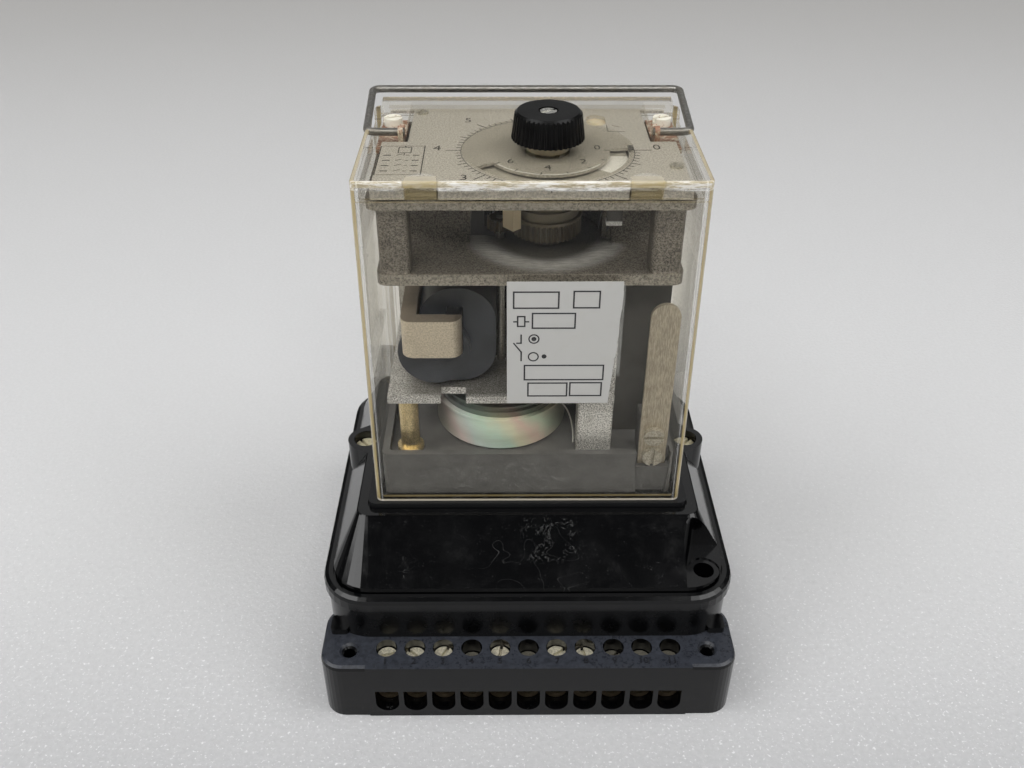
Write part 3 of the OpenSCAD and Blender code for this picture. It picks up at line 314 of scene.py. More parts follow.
@dataclass(frozen=True)
class Finish:
    """A named finish of the relay."""

    name: str

    def make(self) -> Material:
        """Builds the material."""
        graph = Graph(self.name)
        return graph.finish(self.surface(graph))

    def surface(self, g: Graph) -> Any:
        """Adds the finish's shader, plain unless a finish says otherwise."""
        return g.principled()


@dataclass(frozen=True)
class Moulding(Finish):
    """Glossy black phenolic with dust, fine scratches, dried smears, and a bloom on the shelf's top that is partly a
    painted bluish sheen.
    """

    colour: Colour = (0.0014, 0.0015, 0.0018)
    gloss: float = 0.14
    dust: float = 0.5
    smears: bool = False
    bloom: float = 0.0
    bloomed: Colour = (0.05, 0.056, 0.072)
    wall_y: float = -49.8
    wall_foot: float = 22.5
    wall_top: float = 39.0

    def surface(self, g: Graph) -> Any:
        """Adds the shader.

        Args:
            g: The material's graph.

        Returns:
            The shader.
        """
        cloud = g.noise(18, 4).rise(0.42, 0.68)
        up = g.facing_up()
        grains = g.specks(0.8, 0.14) * g.noise(3.2, 2).rise(0.52, 0.62)
        film = g.noise(6, 6, 0.7).rise(0.46, 0.8)
        lint = g.noise(3.4, 2, 0.5, warp=0.6).band(0.5, 0.0012, 0.002) * g.noise(9, 2).rise(0.6, 0.68)
        worn = g.noise(0.35, 2, 0.5, (24, 1, 1), (0, 0, 12)).rise(0.68, 0.8) * cloud
        dusty = ((grains * 0.3 + lint * 0.22) * (0.3 + 0.7 * up) + film * (0.001 + 0.008 * up)) * self.dust
        marks = dusty + worn * 0.012
        if self.smears:
            marks = marks + self._smears(g) * 0.22
        marks = marks.least(1.0)
        patches = 0.6 + 0.8 * g.noise(1.3, 5, 0.7).rise(0.3, 0.7)
        # Painted sheen: the bluish tint on the shelf's upward faces stands in partly for reflected light and partly for
        # a bloom
        bloom = up * g.z.band(SHELF_TOP, 0.6, 0.2) * self.bloom * patches
        colour = g.mix(marks, g.mix(bloom.least(1.0), self.colour, self.bloomed), DUST)
        wall = (g.y - self.wall_y).size().rise(0.9, 0.6) * (1.0 - up)
        wall = wall * g.z.rise(self.wall_foot, self.wall_foot + 1.0) * g.z.rise(self.wall_top, self.wall_top - 1.5)
        rough = (self.gloss + 0.07 * film + 0.06 * cloud * up + marks * 0.5 + wall * 0.1 + bloom * 0.3).least(0.9)
        relief = g.bump(g.noise(0.8, 3) * 0.3 + worn * 0.3, 0.006)
        return g.principled(Base_Color=colour, Roughness=rough, IOR=1.4, Normal=relief)

    def _smears(self, g: Graph) -> Value:
        """Whitish dried smears and hair lines on the hood's front slope.

        Args:
            g: The material's graph.

        Returns:
            The smears' mask.
        """
        across = g.x.band(6.3, 7.2, 3) * g.z.band(50.6, 3.0, 1.5)
        blots = g.noise(3.0, 4, 0.6, (1.1, 1, 1), warp=1.5).band(0.53, 0.005, 0.007)
        wide = g.x.band(2, 12, 8) * g.z.band(47.0, 4.5, 3)
        hair = g.noise(11, 1, 0.4, (1.1, 1, 1.6), (0, 0, 25), warp=0.9).band(0.5, 0.0007, 0.0012) * wide
        front = g.y.rise(-28.5, -29.5)
        return (blots * across * g.noise(4, 2).rise(0.47, 0.56) * 0.8 + hair * 0.4) * front


@dataclass(frozen=True)
class Toned(Finish):
    """A finish whose colour may change by place."""

    colour: Colour
    roughness: float = 0.5

    def tone(self, g: Graph, colour: Socket) -> Socket:
        """Changes the colour by place: not at all on a plain piece."""
        return colour


@dataclass(frozen=True)
class Matt(Toned):
    """Matt or satin plastic with soft mottling."""

    mottle: float = 0.12
    grain_mm: float = 0.7
    dust: float = 0.0
    glow: float = 0.0
    index: float = 1.45
    relief_mm: float = 0.02

    def surface(self, g: Graph) -> Any:
        """Adds the shader.

        Args:
            g: The material's graph.

        Returns:
            The shader.
        """
        cloud = g.noise(7, 4)
        fine = g.noise(self.grain_mm, 3)
        pale, dark = shaded(self.colour, 1 + self.mottle, 0.004), shaded(self.colour, 1 - self.mottle)
        colour = g.mix(cloud.rise(0.3, 0.7), dark, pale)
        if self.dust:
            specks = g.specks(0.8, 0.2) * g.noise(4, 2).rise(0.48, 0.6) * (0.4 + 0.6 * g.facing_up())
            film = g.noise(4, 6, 0.7).rise(0.45, 0.8) * 0.1
            colour = g.mix(((specks * 0.6 + film) * self.dust).least(1.0), colour, (0.5, 0.5, 0.48))
        return g.principled(
            Base_Color=self.tone(g, colour),
            Roughness=self.roughness - 0.06 + 0.12 * cloud,
            IOR=self.index,
            Subsurface_Weight=self.glow,
            Subsurface_Radius=(0.002, 0.0015, 0.001),
            Normal=g.bump(fine, self.relief_mm),
        )


@dataclass(frozen=True)
class Tray(Matt):
    """Satin moulding that is black below the cover's foot and grey inside the cover."""

    below: Colour = (0.004, 0.0042, 0.005)
    level: float = 58.0

    def tone(self, g: Graph, colour: Socket) -> Socket:
        """Darkens the moulding below the level."""
        return g.mix(g.z.rise(self.level - 0.3, self.level + 0.3), self.below, colour)


@dataclass(frozen=True)
class GearMoulding(Tray):
    """Aged cream plastic, darkened as painted shade, darker still with painted shade on the teeth, and lightened as
    painted light on the tab beside them.
    """

    tab_reach: float = 12.0
    tab: Colour = (0.97, 0.83, 0.58)

    def tone(self, g: Graph, colour: Socket) -> Socket:
        """Paints light on the tab, which stands further out than the hub above the teeth, over the painted shade below
        the level.

        Args:
            g: The material's graph.
            colour: The mottled colour.

        Returns:
            The colour to use.
        """
        away = distance(g.x - DIAL_AXIS[0], g.y - DIAL_AXIS[1])
        # Painted light: the tab is lightened because it stands out into the light
        tab = away.rise(self.tab_reach - 0.2, self.tab_reach + 0.2) * g.z.rise(self.level - 0.2, self.level)
        return g.mix(tab, super().tone(g, colour), self.tab)


@dataclass(frozen=True)
class PointerDisc(Matt):
    """Silver-beige disc with a white sector between two angles about the setting axis."""

    white: Colour = (0.93, 0.93, 0.91)
    start: float = -1.0
    stop: float = -36.0

    def tone(self, g: Graph, colour: Socket) -> Socket:
        """Paints the sector white.

        Args:
            g: The material's graph.
            colour: The mottled colour.

        Returns:
            The colour to use.
        """
        u, v = g.x - DIAL_AXIS[0], g.y - DIAL_AXIS[1]
        sides = [v * math.cos(a) - u * math.sin(a) for a in map(math.radians, (self.start, self.stop))]
        return g.mix(sides[0].rise(0.05, -0.05) * sides[1].rise(-0.05, 0.05), colour, self.white)


@dataclass(frozen=True)
class Relief:
    """Fine relief of a metal: grain and pits as size, octaves and roughness, and the depth in millimetres."""

    grain: Point
    pits: Point
    pitted: Spot
    depth: float


RELIEFS = {
    Pattern.PLAIN: Relief((0.5, 3, 0.55), (1.4, 3, 0.7), (0.66, 0.8), 0.008),
    Pattern.BRUSHED: Relief((0.16, 3, 0.6), (0.5, 2, 0.5), (0.64, 0.8), 0.012),
    Pattern.CAST: Relief((0.42, 4, 0.72), (0.9, 2, 0.55), (0.6, 0.74), 0.06),
}


@dataclass(frozen=True)
class Metal(Toned):
    """Metal with a plain, brushed or cast surface and some tarnish."""

    roughness: float = 0.35
    pattern: Pattern = Pattern.PLAIN
    metallic: float = 0.85
    tarnish: float = 0.25
    stain: Colour = (0.16, 0.12, 0.08)
    run: Point = (1.0, 1.0, 14.0)
    spread: float = 1.0

    def surface(self, g: Graph) -> Any:
        """Adds the shader.

        Args:
            g: The material's graph.

        Returns:
            The shader.
        """
        dull = g.noise(5, 5, 0.6).rise(0.45, 0.78) * self.tarnish
        relief = RELIEFS[self.pattern]
        run = self.run if self.pattern is Pattern.BRUSHED else None
        fine = g.noise(*relief.grain, stretch=run)
        pits = g.noise(*relief.pits, stretch=run).rise(*relief.pitted)
        pale, dark = shaded(self.colour, 1 + 0.22 * self.spread), shaded(self.colour, 1 - 0.28 * self.spread)
        toned = g.mix(fine.rise(0.34, 0.66), dark, pale)
        toned = g.mix((dull + pits * 0.35 * self.tarnish).least(1.0), toned, self.stain)
        return g.principled(
            Base_Color=self.tone(g, toned),
            Metallic=(self.metallic - dull * 0.5).most(0.0),
            Roughness=(self.roughness + 0.12 * fine + dull * 0.4 - 0.06).least(0.95),
            Normal=g.bump(fine - pits * 0.6, relief.depth),
        )


@dataclass(frozen=True)
class FrameCasting(Metal):
    """Brownish zinc casting with painted shade in the turned dish under the gear, a painted highlight on the dish's
    front rim and a painted dark opening behind the dish.
    """

    dish: float = 133.0
    floor: float = 136.2
    upper: float = 155.2
    hollow_x: Spot = (-17.8, 1.0)
    hollow_y: Spot = (5.5, 32.0)
    hollow_z: Spot = (134.6, 156.2)
    front: float = -18.9
    rim: float = 19.4
    worn: Colour = (0.48, 0.45, 0.39)
    # Colour of the painted shade under the gear
    dark: Colour = (0.1, 0.096, 0.09)
    burnished: Colour = (0.72, 0.72, 0.71)
    hollow: Colour = (0.008, 0.0075, 0.007)

    def tone(self, g: Graph, colour: Socket) -> Socket:
        """Wears the flanges' edges, paints shade in the dish and a dark opening in the room behind it, and paints a
        highlight on the dish's front rim.

        Args:
            g: The material's graph.
            colour: The grained colour.

        Returns:
            The colour to use.
        """
        u, v = g.x - DIAL_AXIS[0], g.y - DIAL_AXIS[1]
        away = distance(u.size(), v.size())
        inside = g.z.rise(self.floor + 12, self.floor + 1) * g.z.rise(self.dish - 1.0, self.dish + 0.5)
        # Painted shade under the gear, in the dish
        painted_shade_under_gear = away.rise(18.5, 13.0) * inside
        flanges = g.z.rise(self.floor + 0.8, self.floor) + g.z.rise(self.upper - 0.8, self.upper)
        edge = g.y.rise(self.front + 1.0, self.front + 0.5) * flanges * g.noise(0.6, 4, 0.75).rise(0.38, 0.6)
        colour = g.mix(edge * 0.75, colour, self.worn)
        streak = 0.5 + 0.5 * g.noise(0.7, 3, 0.6, (6, 1, 1)).rise(0.3, 0.7)
        level = g.z.rise(self.floor + 0.4, self.floor - 0.2)
        # Painted highlight: a pale crescent on the front of the dish's rim
        rim = away.band(self.rim, 0.6, 6.0) * v.rise(8, -14) * level * g.z.rise(self.dish, self.dish + 1.0)
        toned = g.mix(rim * streak, g.mix(painted_shade_under_gear * 0.6, colour, self.dark), self.burnished)
        # Painted shade: a dark box behind the dish stands in for a dark opening in the rear wall
        (left, right), (near, rear), (low, high) = self.hollow_x, self.hollow_y, self.hollow_z
        behind = g.x.rise(left, left + 0.6) * g.x.rise(right, right - 5) * g.y.rise(near, near + 0.7)
        behind = behind * g.y.rise(rear, rear - 6) * g.z.rise(low, low + 0.8) * g.z.rise(high, high - 0.6)
        return g.mix(behind, toned, self.hollow)


@dataclass(frozen=True)
class PlateCasting(Metal):
    """Bright zinc casting, lighter on the pillar under the plate, with painted shadow on the plate's top behind its
    front edge.
    """

    plate_z: float = 89.4
    plate_top: float = 91.9
    plate_front: float = -15.2
    oily: Colour = (0.11, 0.1, 0.085)

    def tone(self, g: Graph, colour: Socket) -> Socket:
        """Lightens the pillar and paints shadow on the plate's top behind its front edge.

        Args:
            g: The material's graph.
            colour: The grained colour.

        Returns:
            The colour to use.
        """
        gain = 1.0 + g.z.rise(self.plate_z, self.plate_z - 1) * 0.35
        lit = g.node("ShaderNodeVectorMath", {"operation": "SCALE"}, {0: colour, "Scale": gain}).outputs[0]
        # Painted shadow on the plate's top, near the coil
        film = g.facing_up() * g.z.rise(self.plate_top - 0.3, self.plate_top - 0.1)
        film = film * g.y.rise(self.plate_front, self.plate_front + 2) * g.x.rise(-40, -34)
        return g.mix(film * (0.4 + 0.4 * g.noise(3, 4, 0.6)), lit, self.oily)


@dataclass(frozen=True)
class SpringClip(Metal):
    """Nickel strip whose foot is painted bright as a highlight, with painted shade over the upright strip above it."""

    foot_z: float = 145.6
    # Colour of the painted shade on the upright strip
    dull: Colour = (0.06, 0.055, 0.05)

    def tone(self, g: Graph, colour: Socket) -> Socket:
        """Paints shade over the upright strip."""
        return g.mix(g.z.rise(self.foot_z + 0.4, self.foot_z + 1.0), colour, self.dull)


@dataclass(frozen=True)
class TerminalScrews(Metal):
    """Yellowed nickel screws, some of them dull with dirt."""

    dirt: Colour = (0.05, 0.047, 0.04)
    reach: float = 3.6
    dull_at: tuple[float, ...] = (-17.8, 0.0, 26.7, 35.6, 44.5)

    def tone(self, g: Graph, colour: Socket) -> Socket:
        """Darkens the screws at the given places along the shelf."""
        bands = [g.x.band(x, self.reach, 0.3) for x in self.dull_at]
        return g.mix(sum(bands[1:], bands[0]).least(1.0) * 0.72, colour, self.dirt)


@dataclass(frozen=True)
class Yoke(Metal):
    """Nickel steel whose hidden leg, behind the front bar, is taped like the coil."""

    tape: Colour = (0.02, 0.021, 0.026)
    brown: Colour = (0.2, 0.165, 0.135)
    leg_x: float = -24.6
    bar_back: float = -12.2

    def tone(self, g: Graph, colour: Socket) -> Socket:
        """Browns the upper faces, paints shade on the bar's end and darkens the taped leg.

        Args:
            g: The material's graph.
            colour: The grained colour.

        Returns:
            The colour to use.
        """
        # Painted shade on the front bar's right end
        shade = g.x.rise(self.leg_x + 1.6, self.leg_x + 5.0) * g.y.rise(self.bar_back, self.bar_back - 0.5) * 0.5
        colour = g.mix((shade + g.facing_up() * 0.75).least(1.0), colour, self.brown)
        taped = g.x.rise(self.leg_x - 0.1, self.leg_x + 0.1) * g.y.rise(self.bar_back - 0.1, self.bar_back + 0.1)
        return g.mix(taped, colour, self.tape)


@dataclass(frozen=True)
class YellowZinc(Finish):
    """Yellow zinc plating with the soft rainbow of its film, and painted shade on the can's flanks."""

    gain: float = 1.0
    metallic: float = 0.35
    middle: float = -8.46
    offset: float = 31.0
    span: float = 46.0
    flank: Colour = (0.12, 0.12, 0.1)
    ringed: Colour = (0.62, 0.62, 0.5)
    hues: tuple[tuple[float, Colour], ...] = (
        (0.0, (0.78, 0.75, 0.68)),
        (0.14, (0.97, 0.82, 0.82)),
        (0.3, (0.8, 0.95, 0.93)),
        (0.44, (0.74, 0.97, 0.83)),
        (0.58, (0.97, 0.96, 0.72)),
        (0.7, (0.97, 0.74, 0.64)),
        (0.82, (0.8, 0.95, 0.74)),
        (1.0, (0.8, 0.68, 0.54)),
    )

    def surface(self, g: Graph) -> Any:
        """Adds the shader.

        Args:
            g: The material's graph.

        Returns:
            The shader.
        """
        drift = g.noise(9, 3, 0.5, (1, 1, 2.2))
        along = (g.x + self.offset) / self.span + (drift - 0.5) * 0.3 + (g.z - 76.0) * 0.018
        stops = [(at, shaded(hue, self.gain)) for at, hue in self.hues]
        film = g.node("ShaderNodeValToRGB", {"stops": stops}, {0: along}).outputs[0]
        rings = g.noise(0.3, 2, 0.5, (14, 14, 1))
        toned = g.mix(rings.rise(0.35, 0.75) * 0.22, film, shaded(self.ringed, self.gain))
        # Painted shade on the can's flanks, where the cylinder turns away from the light
        flank = (g.x - self.middle).size().rise(12.5, 21.0) * g.z.rise(83, 81)
        return g.principled(
            Base_Color=g.mix(flank * 0.8, toned, self.flank),
            Metallic=self.metallic,
            Roughness=0.34 + 0.14 * rings,
            Normal=g.bump(rings, 0.008),
        )


@dataclass(frozen=True)
class ClearPlastic(Finish):
    """Clear, yellowed plastic: mirror-like at a slant, hazed, scratched, olive along its edges, and white with painted
    glare.
    """

    tint: Colour = (0.962, 0.952, 0.925)
    edge: Colour = (0.4, 0.31, 0.13)
    scuffed: Colour = (0.9, 0.89, 0.86)
    veiled: Colour = (0.66, 0.65, 0.6)
    haze: float = 0.002
    scratches: float = 1.0
    straight: float = 0.009
    slanting: float = 0.9
    least_part: float = 0.0001

    def veil(self, g: Graph) -> Value:
        """Haze, scratches and dust over the whole surface.

        Args:
            g: The material's graph.

        Returns:
            How much the surface is veiled, from 0 to 1.
        """
        cloud = g.noise(16, 4).rise(0.4, 0.75)
        lines = g.noise(0.5, 2, 0.5, (26, 26, 1), (0, 24, 8)).rise(0.7, 0.8)
        lines = (lines + g.noise(0.5, 2, 0.5, (1, 20, 22), (0, 18, 0)).rise(0.72, 0.82)) * g.noise(20, 2).rise(0.5, 0.7)
        grains = g.specks(1.3, 0.1) * g.noise(6, 2).rise(0.5, 0.64)
        return self.haze * (0.4 + cloud) + (lines * 0.06 + grains * 0.25) * self.scratches

    def rims(self, g: Graph) -> Value:
        """How much of an edge a place is: none on a flat sheet."""
        return g.x * 0.0

    def glare(self, g: Graph) -> Value:
        """Where painted glare shines white: nowhere on a flat sheet."""
        return g.x * 0.0

    def surface(self, g: Graph) -> Any:
        """Adds the shader.

        Args:
            g: The material's graph.

        Returns:
            The shader.
        """
        veil, rims, glare = self.veil(g), self.rims(g), self.glare(g)
        facing = g.value("ShaderNodeLayerWeight", {}, {"Blend": 0.5}, "Facing")
        slant = self.straight + self.slanting * facing ** 5.0
        dull = (veil + rims + glare).least(1.0)
        part = (dull / (slant + dull + self.least_part)).least(1.0)
        pale = g.mix((glare / (dull + self.least_part)).least(1.0), self.edge, self.scuffed)
        pale = g.mix((veil / (dull + self.least_part)).least(1.0), pale, self.veiled)
        clear = g.node("ShaderNodeBsdfTransparent", {}, {"Color": (*self.tint, 1.0)})
        shine = g.principled(Base_Color=g.mix(part, WHITE, pale), Metallic=1.0 - part, Roughness=0.03 + part * 0.3)
        return g.blend((slant + dull).least(1.0), clear, shine)


@dataclass(frozen=True)
class ClearCover(ClearPlastic):
    """The cover's plastic, with its edges and moulded ribs picked out."""

    half_x: float = 47.4
    rear: float = 43.7
    foot: float = 57.0
    draft: float = 0.0087
    rib_middle: float = 0.5
    rib_reach: float = 29.5

    def _sides(self, g: Graph) -> tuple[Value, Value, Value]:
        """Distances inward from the side, front and rear faces, which lean out a little."""
        spread = (COVER_TOP - g.z) * self.draft
        return (self.half_x + spread) - g.x.size(), g.y - (COVER_FRONT - spread), (self.rear + spread) - g.y

    def _ribs(self, g: Graph, half: float, soft: float) -> Value:
        """Where the two moulded ribs stand."""
        left, right = self.rib_middle - self.rib_reach, self.rib_middle + self.rib_reach
        return g.x.band(left, half, soft) + g.x.band(right, half, soft)

    def veil(self, g: Graph) -> Value:
        """Adds scuffs and haze near the foot, milky rings round the ribs and a line of glue.

        Args:
            g: The material's graph.

        Returns:
            How much the surface is veiled, from 0 to 1.
        """
        base = super().veil(g)
        low = g.z.rise(74, 60) * g.noise(10, 3).rise(0.3, 0.7)
        scuffs = g.noise(5, 4, 0.6, warp=0.8).band(0.5, 0.004, 0.008) * g.z.rise(84, 66)
        _, front, _ = self._sides(g)
        ring = distance(((g.x - self.rib_middle).size() - self.rib_reach).size(), (front - 2.0).size())
        milky = ring.rise(4.5, 4.0) * g.z.rise(COVER_TOP - 0.8, COVER_TOP - 0.4) * (0.4 + g.noise(2, 3))
        glue = g.x.band(25.2, 0.8, 0.35) * g.z.rise(104, 107) * g.z.rise(136, 134) * front.rise(0.8, 0.5)
        return base + low * 0.02 + scuffs * 0.1 + milky * 0.12 + glue * (0.1 + 0.3 * g.noise(1.5, 4, 0.7))

    def rims(self, g: Graph) -> Value:
        """Olive bands along the upright corners, the top edges, the ribs and the foot.

        Args:
            g: The material's graph.

        Returns:
            How much of an edge a place is.
        """
        side, front, rear = self._sides(g)
        streak = 0.55 + 0.6 * g.noise(1.2, 3, 0.6, (1, 1, 12))
        column = side.rise(1.7, 1.1) * (front.rise(1.7, 1.1) + rear.rise(1.7, 1.1)).least(1.0)
        ridge = (side.rise(1.5, 1.0) + front.rise(1.5, 1.0) + rear.rise(1.5, 1.0)).least(1.0)
        ridge = g.z.rise(COVER_TOP - 1.7, COVER_TOP - 1.2) * ridge
        seam = g.z.band(COVER_TOP - 5.4, 0.12, 0.15) * 0.35
        ribs = self._ribs(g, 4.0, 0.5) * front.rise(4.6, 3.8) * g.z.rise(COVER_TOP - 5, COVER_TOP - 4.4)
        foot = g.z.rise(self.foot + 1.0, self.foot + 0.6)
        return ((column + ridge * 0.7) * streak + seam + ribs * 0.32 + foot * 0.7).least(0.9)

    def glare(self, g: Graph) -> Value:
        """Painted glare: white streaks of painted highlight on the top front edge, and pale painted highlight lines
        along the corners and the foot.

        Args:
            g: The material's graph.

        Returns:
            How white a place is painted with glare.
        """
        side, front, rear = self._sides(g)
        ribs = self._ribs(g, 4.4, 0.6).least(1.0)
        streak = g.noise(0.9, 4, 0.75, (7, 1, 1)).rise(0.4, 0.62)
        # Painted highlight: the glare strip along the top front edge
        strip = g.z.rise(COVER_TOP - 2.6, COVER_TOP - 2.0) * front.rise(1.4, 0.9)
        strip = strip * (1.0 - ribs * 0.75) * (0.12 + 0.88 * streak)
        foot = g.z.rise(self.foot + 0.9, self.foot + 0.5) * front.rise(1.4, 0.9)
        corner = side.band(2.1, 0.15, 0.15) * (front.rise(1.4, 0.9) + rear.rise(1.4, 0.9)).least(1.0)
        return strip * 0.88 + foot * 0.5 + corner * (0.1 + 0.3 * g.noise(3, 3, 0.6, (1, 1, 8)))


@dataclass(frozen=True)
class Paper(Finish):
    """White plastic-coated label, lightly soiled."""

    colour: Colour = (0.52, 0.515, 0.49)
    soiled: Colour = (0.46, 0.44, 0.38)

    def surface(self, g: Graph) -> Any:
        """Adds the shader.

        Args:
            g: The material's graph.

        Returns:
            The shader.
        """
        soil = g.noise(6, 5, 0.7).rise(0.5, 0.85) * 0.3 + g.specks(1.1, 0.12) * 0.25
        edge = g.z.rise(98.5, 95) * 0.12
        colour = g.mix((soil + edge).least(1.0), self.colour, self.soiled)
        return g.principled(Base_Color=colour, Roughness=0.42, Normal=g.bump(g.noise(0.6, 3), 0.01))


@dataclass(frozen=True)
class Ink(Finish):
    """Worn printing ink."""

    colour: Colour = (0.03, 0.03, 0.03)
    worn: Colour = (0.2, 0.19, 0.17)

    def surface(self, g: Graph) -> Any:
        """Adds the shader."""
        wear = g.noise(0.7, 4, 0.7).rise(0.5, 0.78) * 0.6
        return g.principled(Base_Color=g.mix(wear, self.colour, self.worn), Roughness=0.5)


@dataclass(frozen=True)
class Varnish(Finish):
    """Brown lock varnish over cream, cracked and blotchy."""

    colour: Colour = (0.3, 0.16, 0.1)
    bare: Colour = (0.62, 0.56, 0.44)
    cover: float = 0.5

    def surface(self, g: Graph) -> Any:
        """Adds the shader.

        Args:
            g: The material's graph.

        Returns:
            The shader.
        """
        blot = g.noise(1.8, 4, 0.65, warp=0.6)
        share = blot.rise(self.cover + 0.08, self.cover - 0.08)
        return g.principled(
            Base_Color=g.mix(share, self.bare, self.colour),
            Roughness=0.35 + 0.3 * blot,
            Metallic=0.1,
            Normal=g.bump(blot, 0.08),
        )


@dataclass(frozen=True)
class Sheet(Finish):
    """Pale, faintly grained backdrop with a painted falloff, darker far away, and painted shade close in front, with a
    pale horizon.
    """

    near: Colour = (0.61, 0.61, 0.613)
    far: Colour = (0.53, 0.52, 0.505)
    front: Colour = (0.43, 0.43, 0.437)
    pale: Colour = (0.86, 0.86, 0.86)
    dark: Colour = (0.3, 0.3, 0.31)
    bright: Colour = (0.97, 0.97, 0.97)
    horizon: float = 0.5

    def surface(self, g: Graph) -> Any:
        """Adds the shader.

        Args:
            g: The material's graph.

        Returns:
            The shader.
        """
        grain = g.noise(1.6, 3, 0.6)
        close = g.y.rise(160, -60)
        # Painted shade in front of the relay and a painted falloff far away
        shade = g.y.rise(40, -110) * g.y.rise(-620, -180) * g.x.size().rise(520, 100)
        base = g.mix(shade, g.mix(g.y.rise(150, 1100), self.near, self.far), self.front)
        base = g.mix(grain.rise(0.35, 0.75) * 0.1, base, self.pale)
        base = g.mix(g.noise(2.2, 4, 0.7).rise(0.48, 0.7) * close * 0.16, base, self.dark)
        base = g.mix(g.noise(1.1, 2, 0.6).rise(0.58, 0.72) * close * 0.45, base, self.bright)
        sheet = g.principled(Base_Color=base, Roughness=0.75, Normal=g.bump(grain, 0.25))
        haze = g.node("ShaderNodeEmission", {}, {"Color": (1.0, 0.985, 0.96, 1.0), "Strength": self.horizon})
        camera, glossy, through = (g.value("ShaderNodeLightPath", output=f"Is {ray} Ray") for ray in SEEN_BY)
        return g.blend(camera.most(glossy).most(through) * distance(g.x, g.y).rise(640, 1900), sheet, haze)


def placed(name: str, data: Any) -> Object:
    """Puts data into the scene as an object.

    Args:
        name: The object's name.
        data: Its mesh, curve, lamp or camera.

    Returns:
        The object.
    """
    thing = bpy.data.objects.new(name, data)
    bpy.context.scene.collection.objects.link(thing)
    return thing


def new_piece(name: str, mesh: Mesh, material: Material, body: str) -> Object:
    """Puts a mesh into the scene as a piece of the relay.

    Args:
        name: The piece's name.
        mesh: Its mesh, in place and in metres.
        material: Its finish.
        body: The body that it moves with.

    Returns:
        The piece.
    """
    mesh.materials.clear()
    mesh.materials.append(material)
    piece = placed(name, mesh)
    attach(piece, body)
    LOG.info("piece %s: %d faces", name, len(mesh.polygons))
    return piece


def evaluated_mesh(holder: Object) -> Mesh:
    """Turns an object with its modifiers into a plain mesh and removes the object.

    Args:
        holder: The object.

    Returns:
        The mesh.
    """
    graph = bpy.context.evaluated_depsgraph_get()
    graph.update()
    mesh = bpy.data.meshes.new_from_object(holder.evaluated_get(graph))
    data = holder.data
    bpy.data.objects.remove(holder)
    if isinstance(data, bpy.types.Curve):
        bpy.data.curves.remove(data)
    return mesh


class Plane:
    """A flat place for printing: two directions in millimetres and the surface's normal."""

    def __init__(self, corner: Point, up: Point = (0, 1, 0)) -> None:
        """Keeps the plane, whose first axis is the relay's own X.

        Args:
            corner: Its origin in millimetres.
            up: Direction of its second axis.
        """
        self.origin = Vector(corner)
        self.right = Vector((1, 0, 0))
        self.up = Vector(up).normalized()
        self.out = self.right.cross(self.up)

    def at(self, u: float, v: float, lift: float = 0.0) -> Vector:
        """Point in metres at u and v, lifted off the surface."""
        return (self.origin + self.right * u + self.up * v + self.out * lift) * MM

    def matrix(self, u: float, v: float, lift: float) -> Matrix:
        """Matrix that lays flat geometry in metres on the plane at u and v."""
        turn = Matrix((self.right, self.up, self.out)).transposed()
        return Matrix.Translation(self.at(u, v, lift)) @ turn.to_4x4()


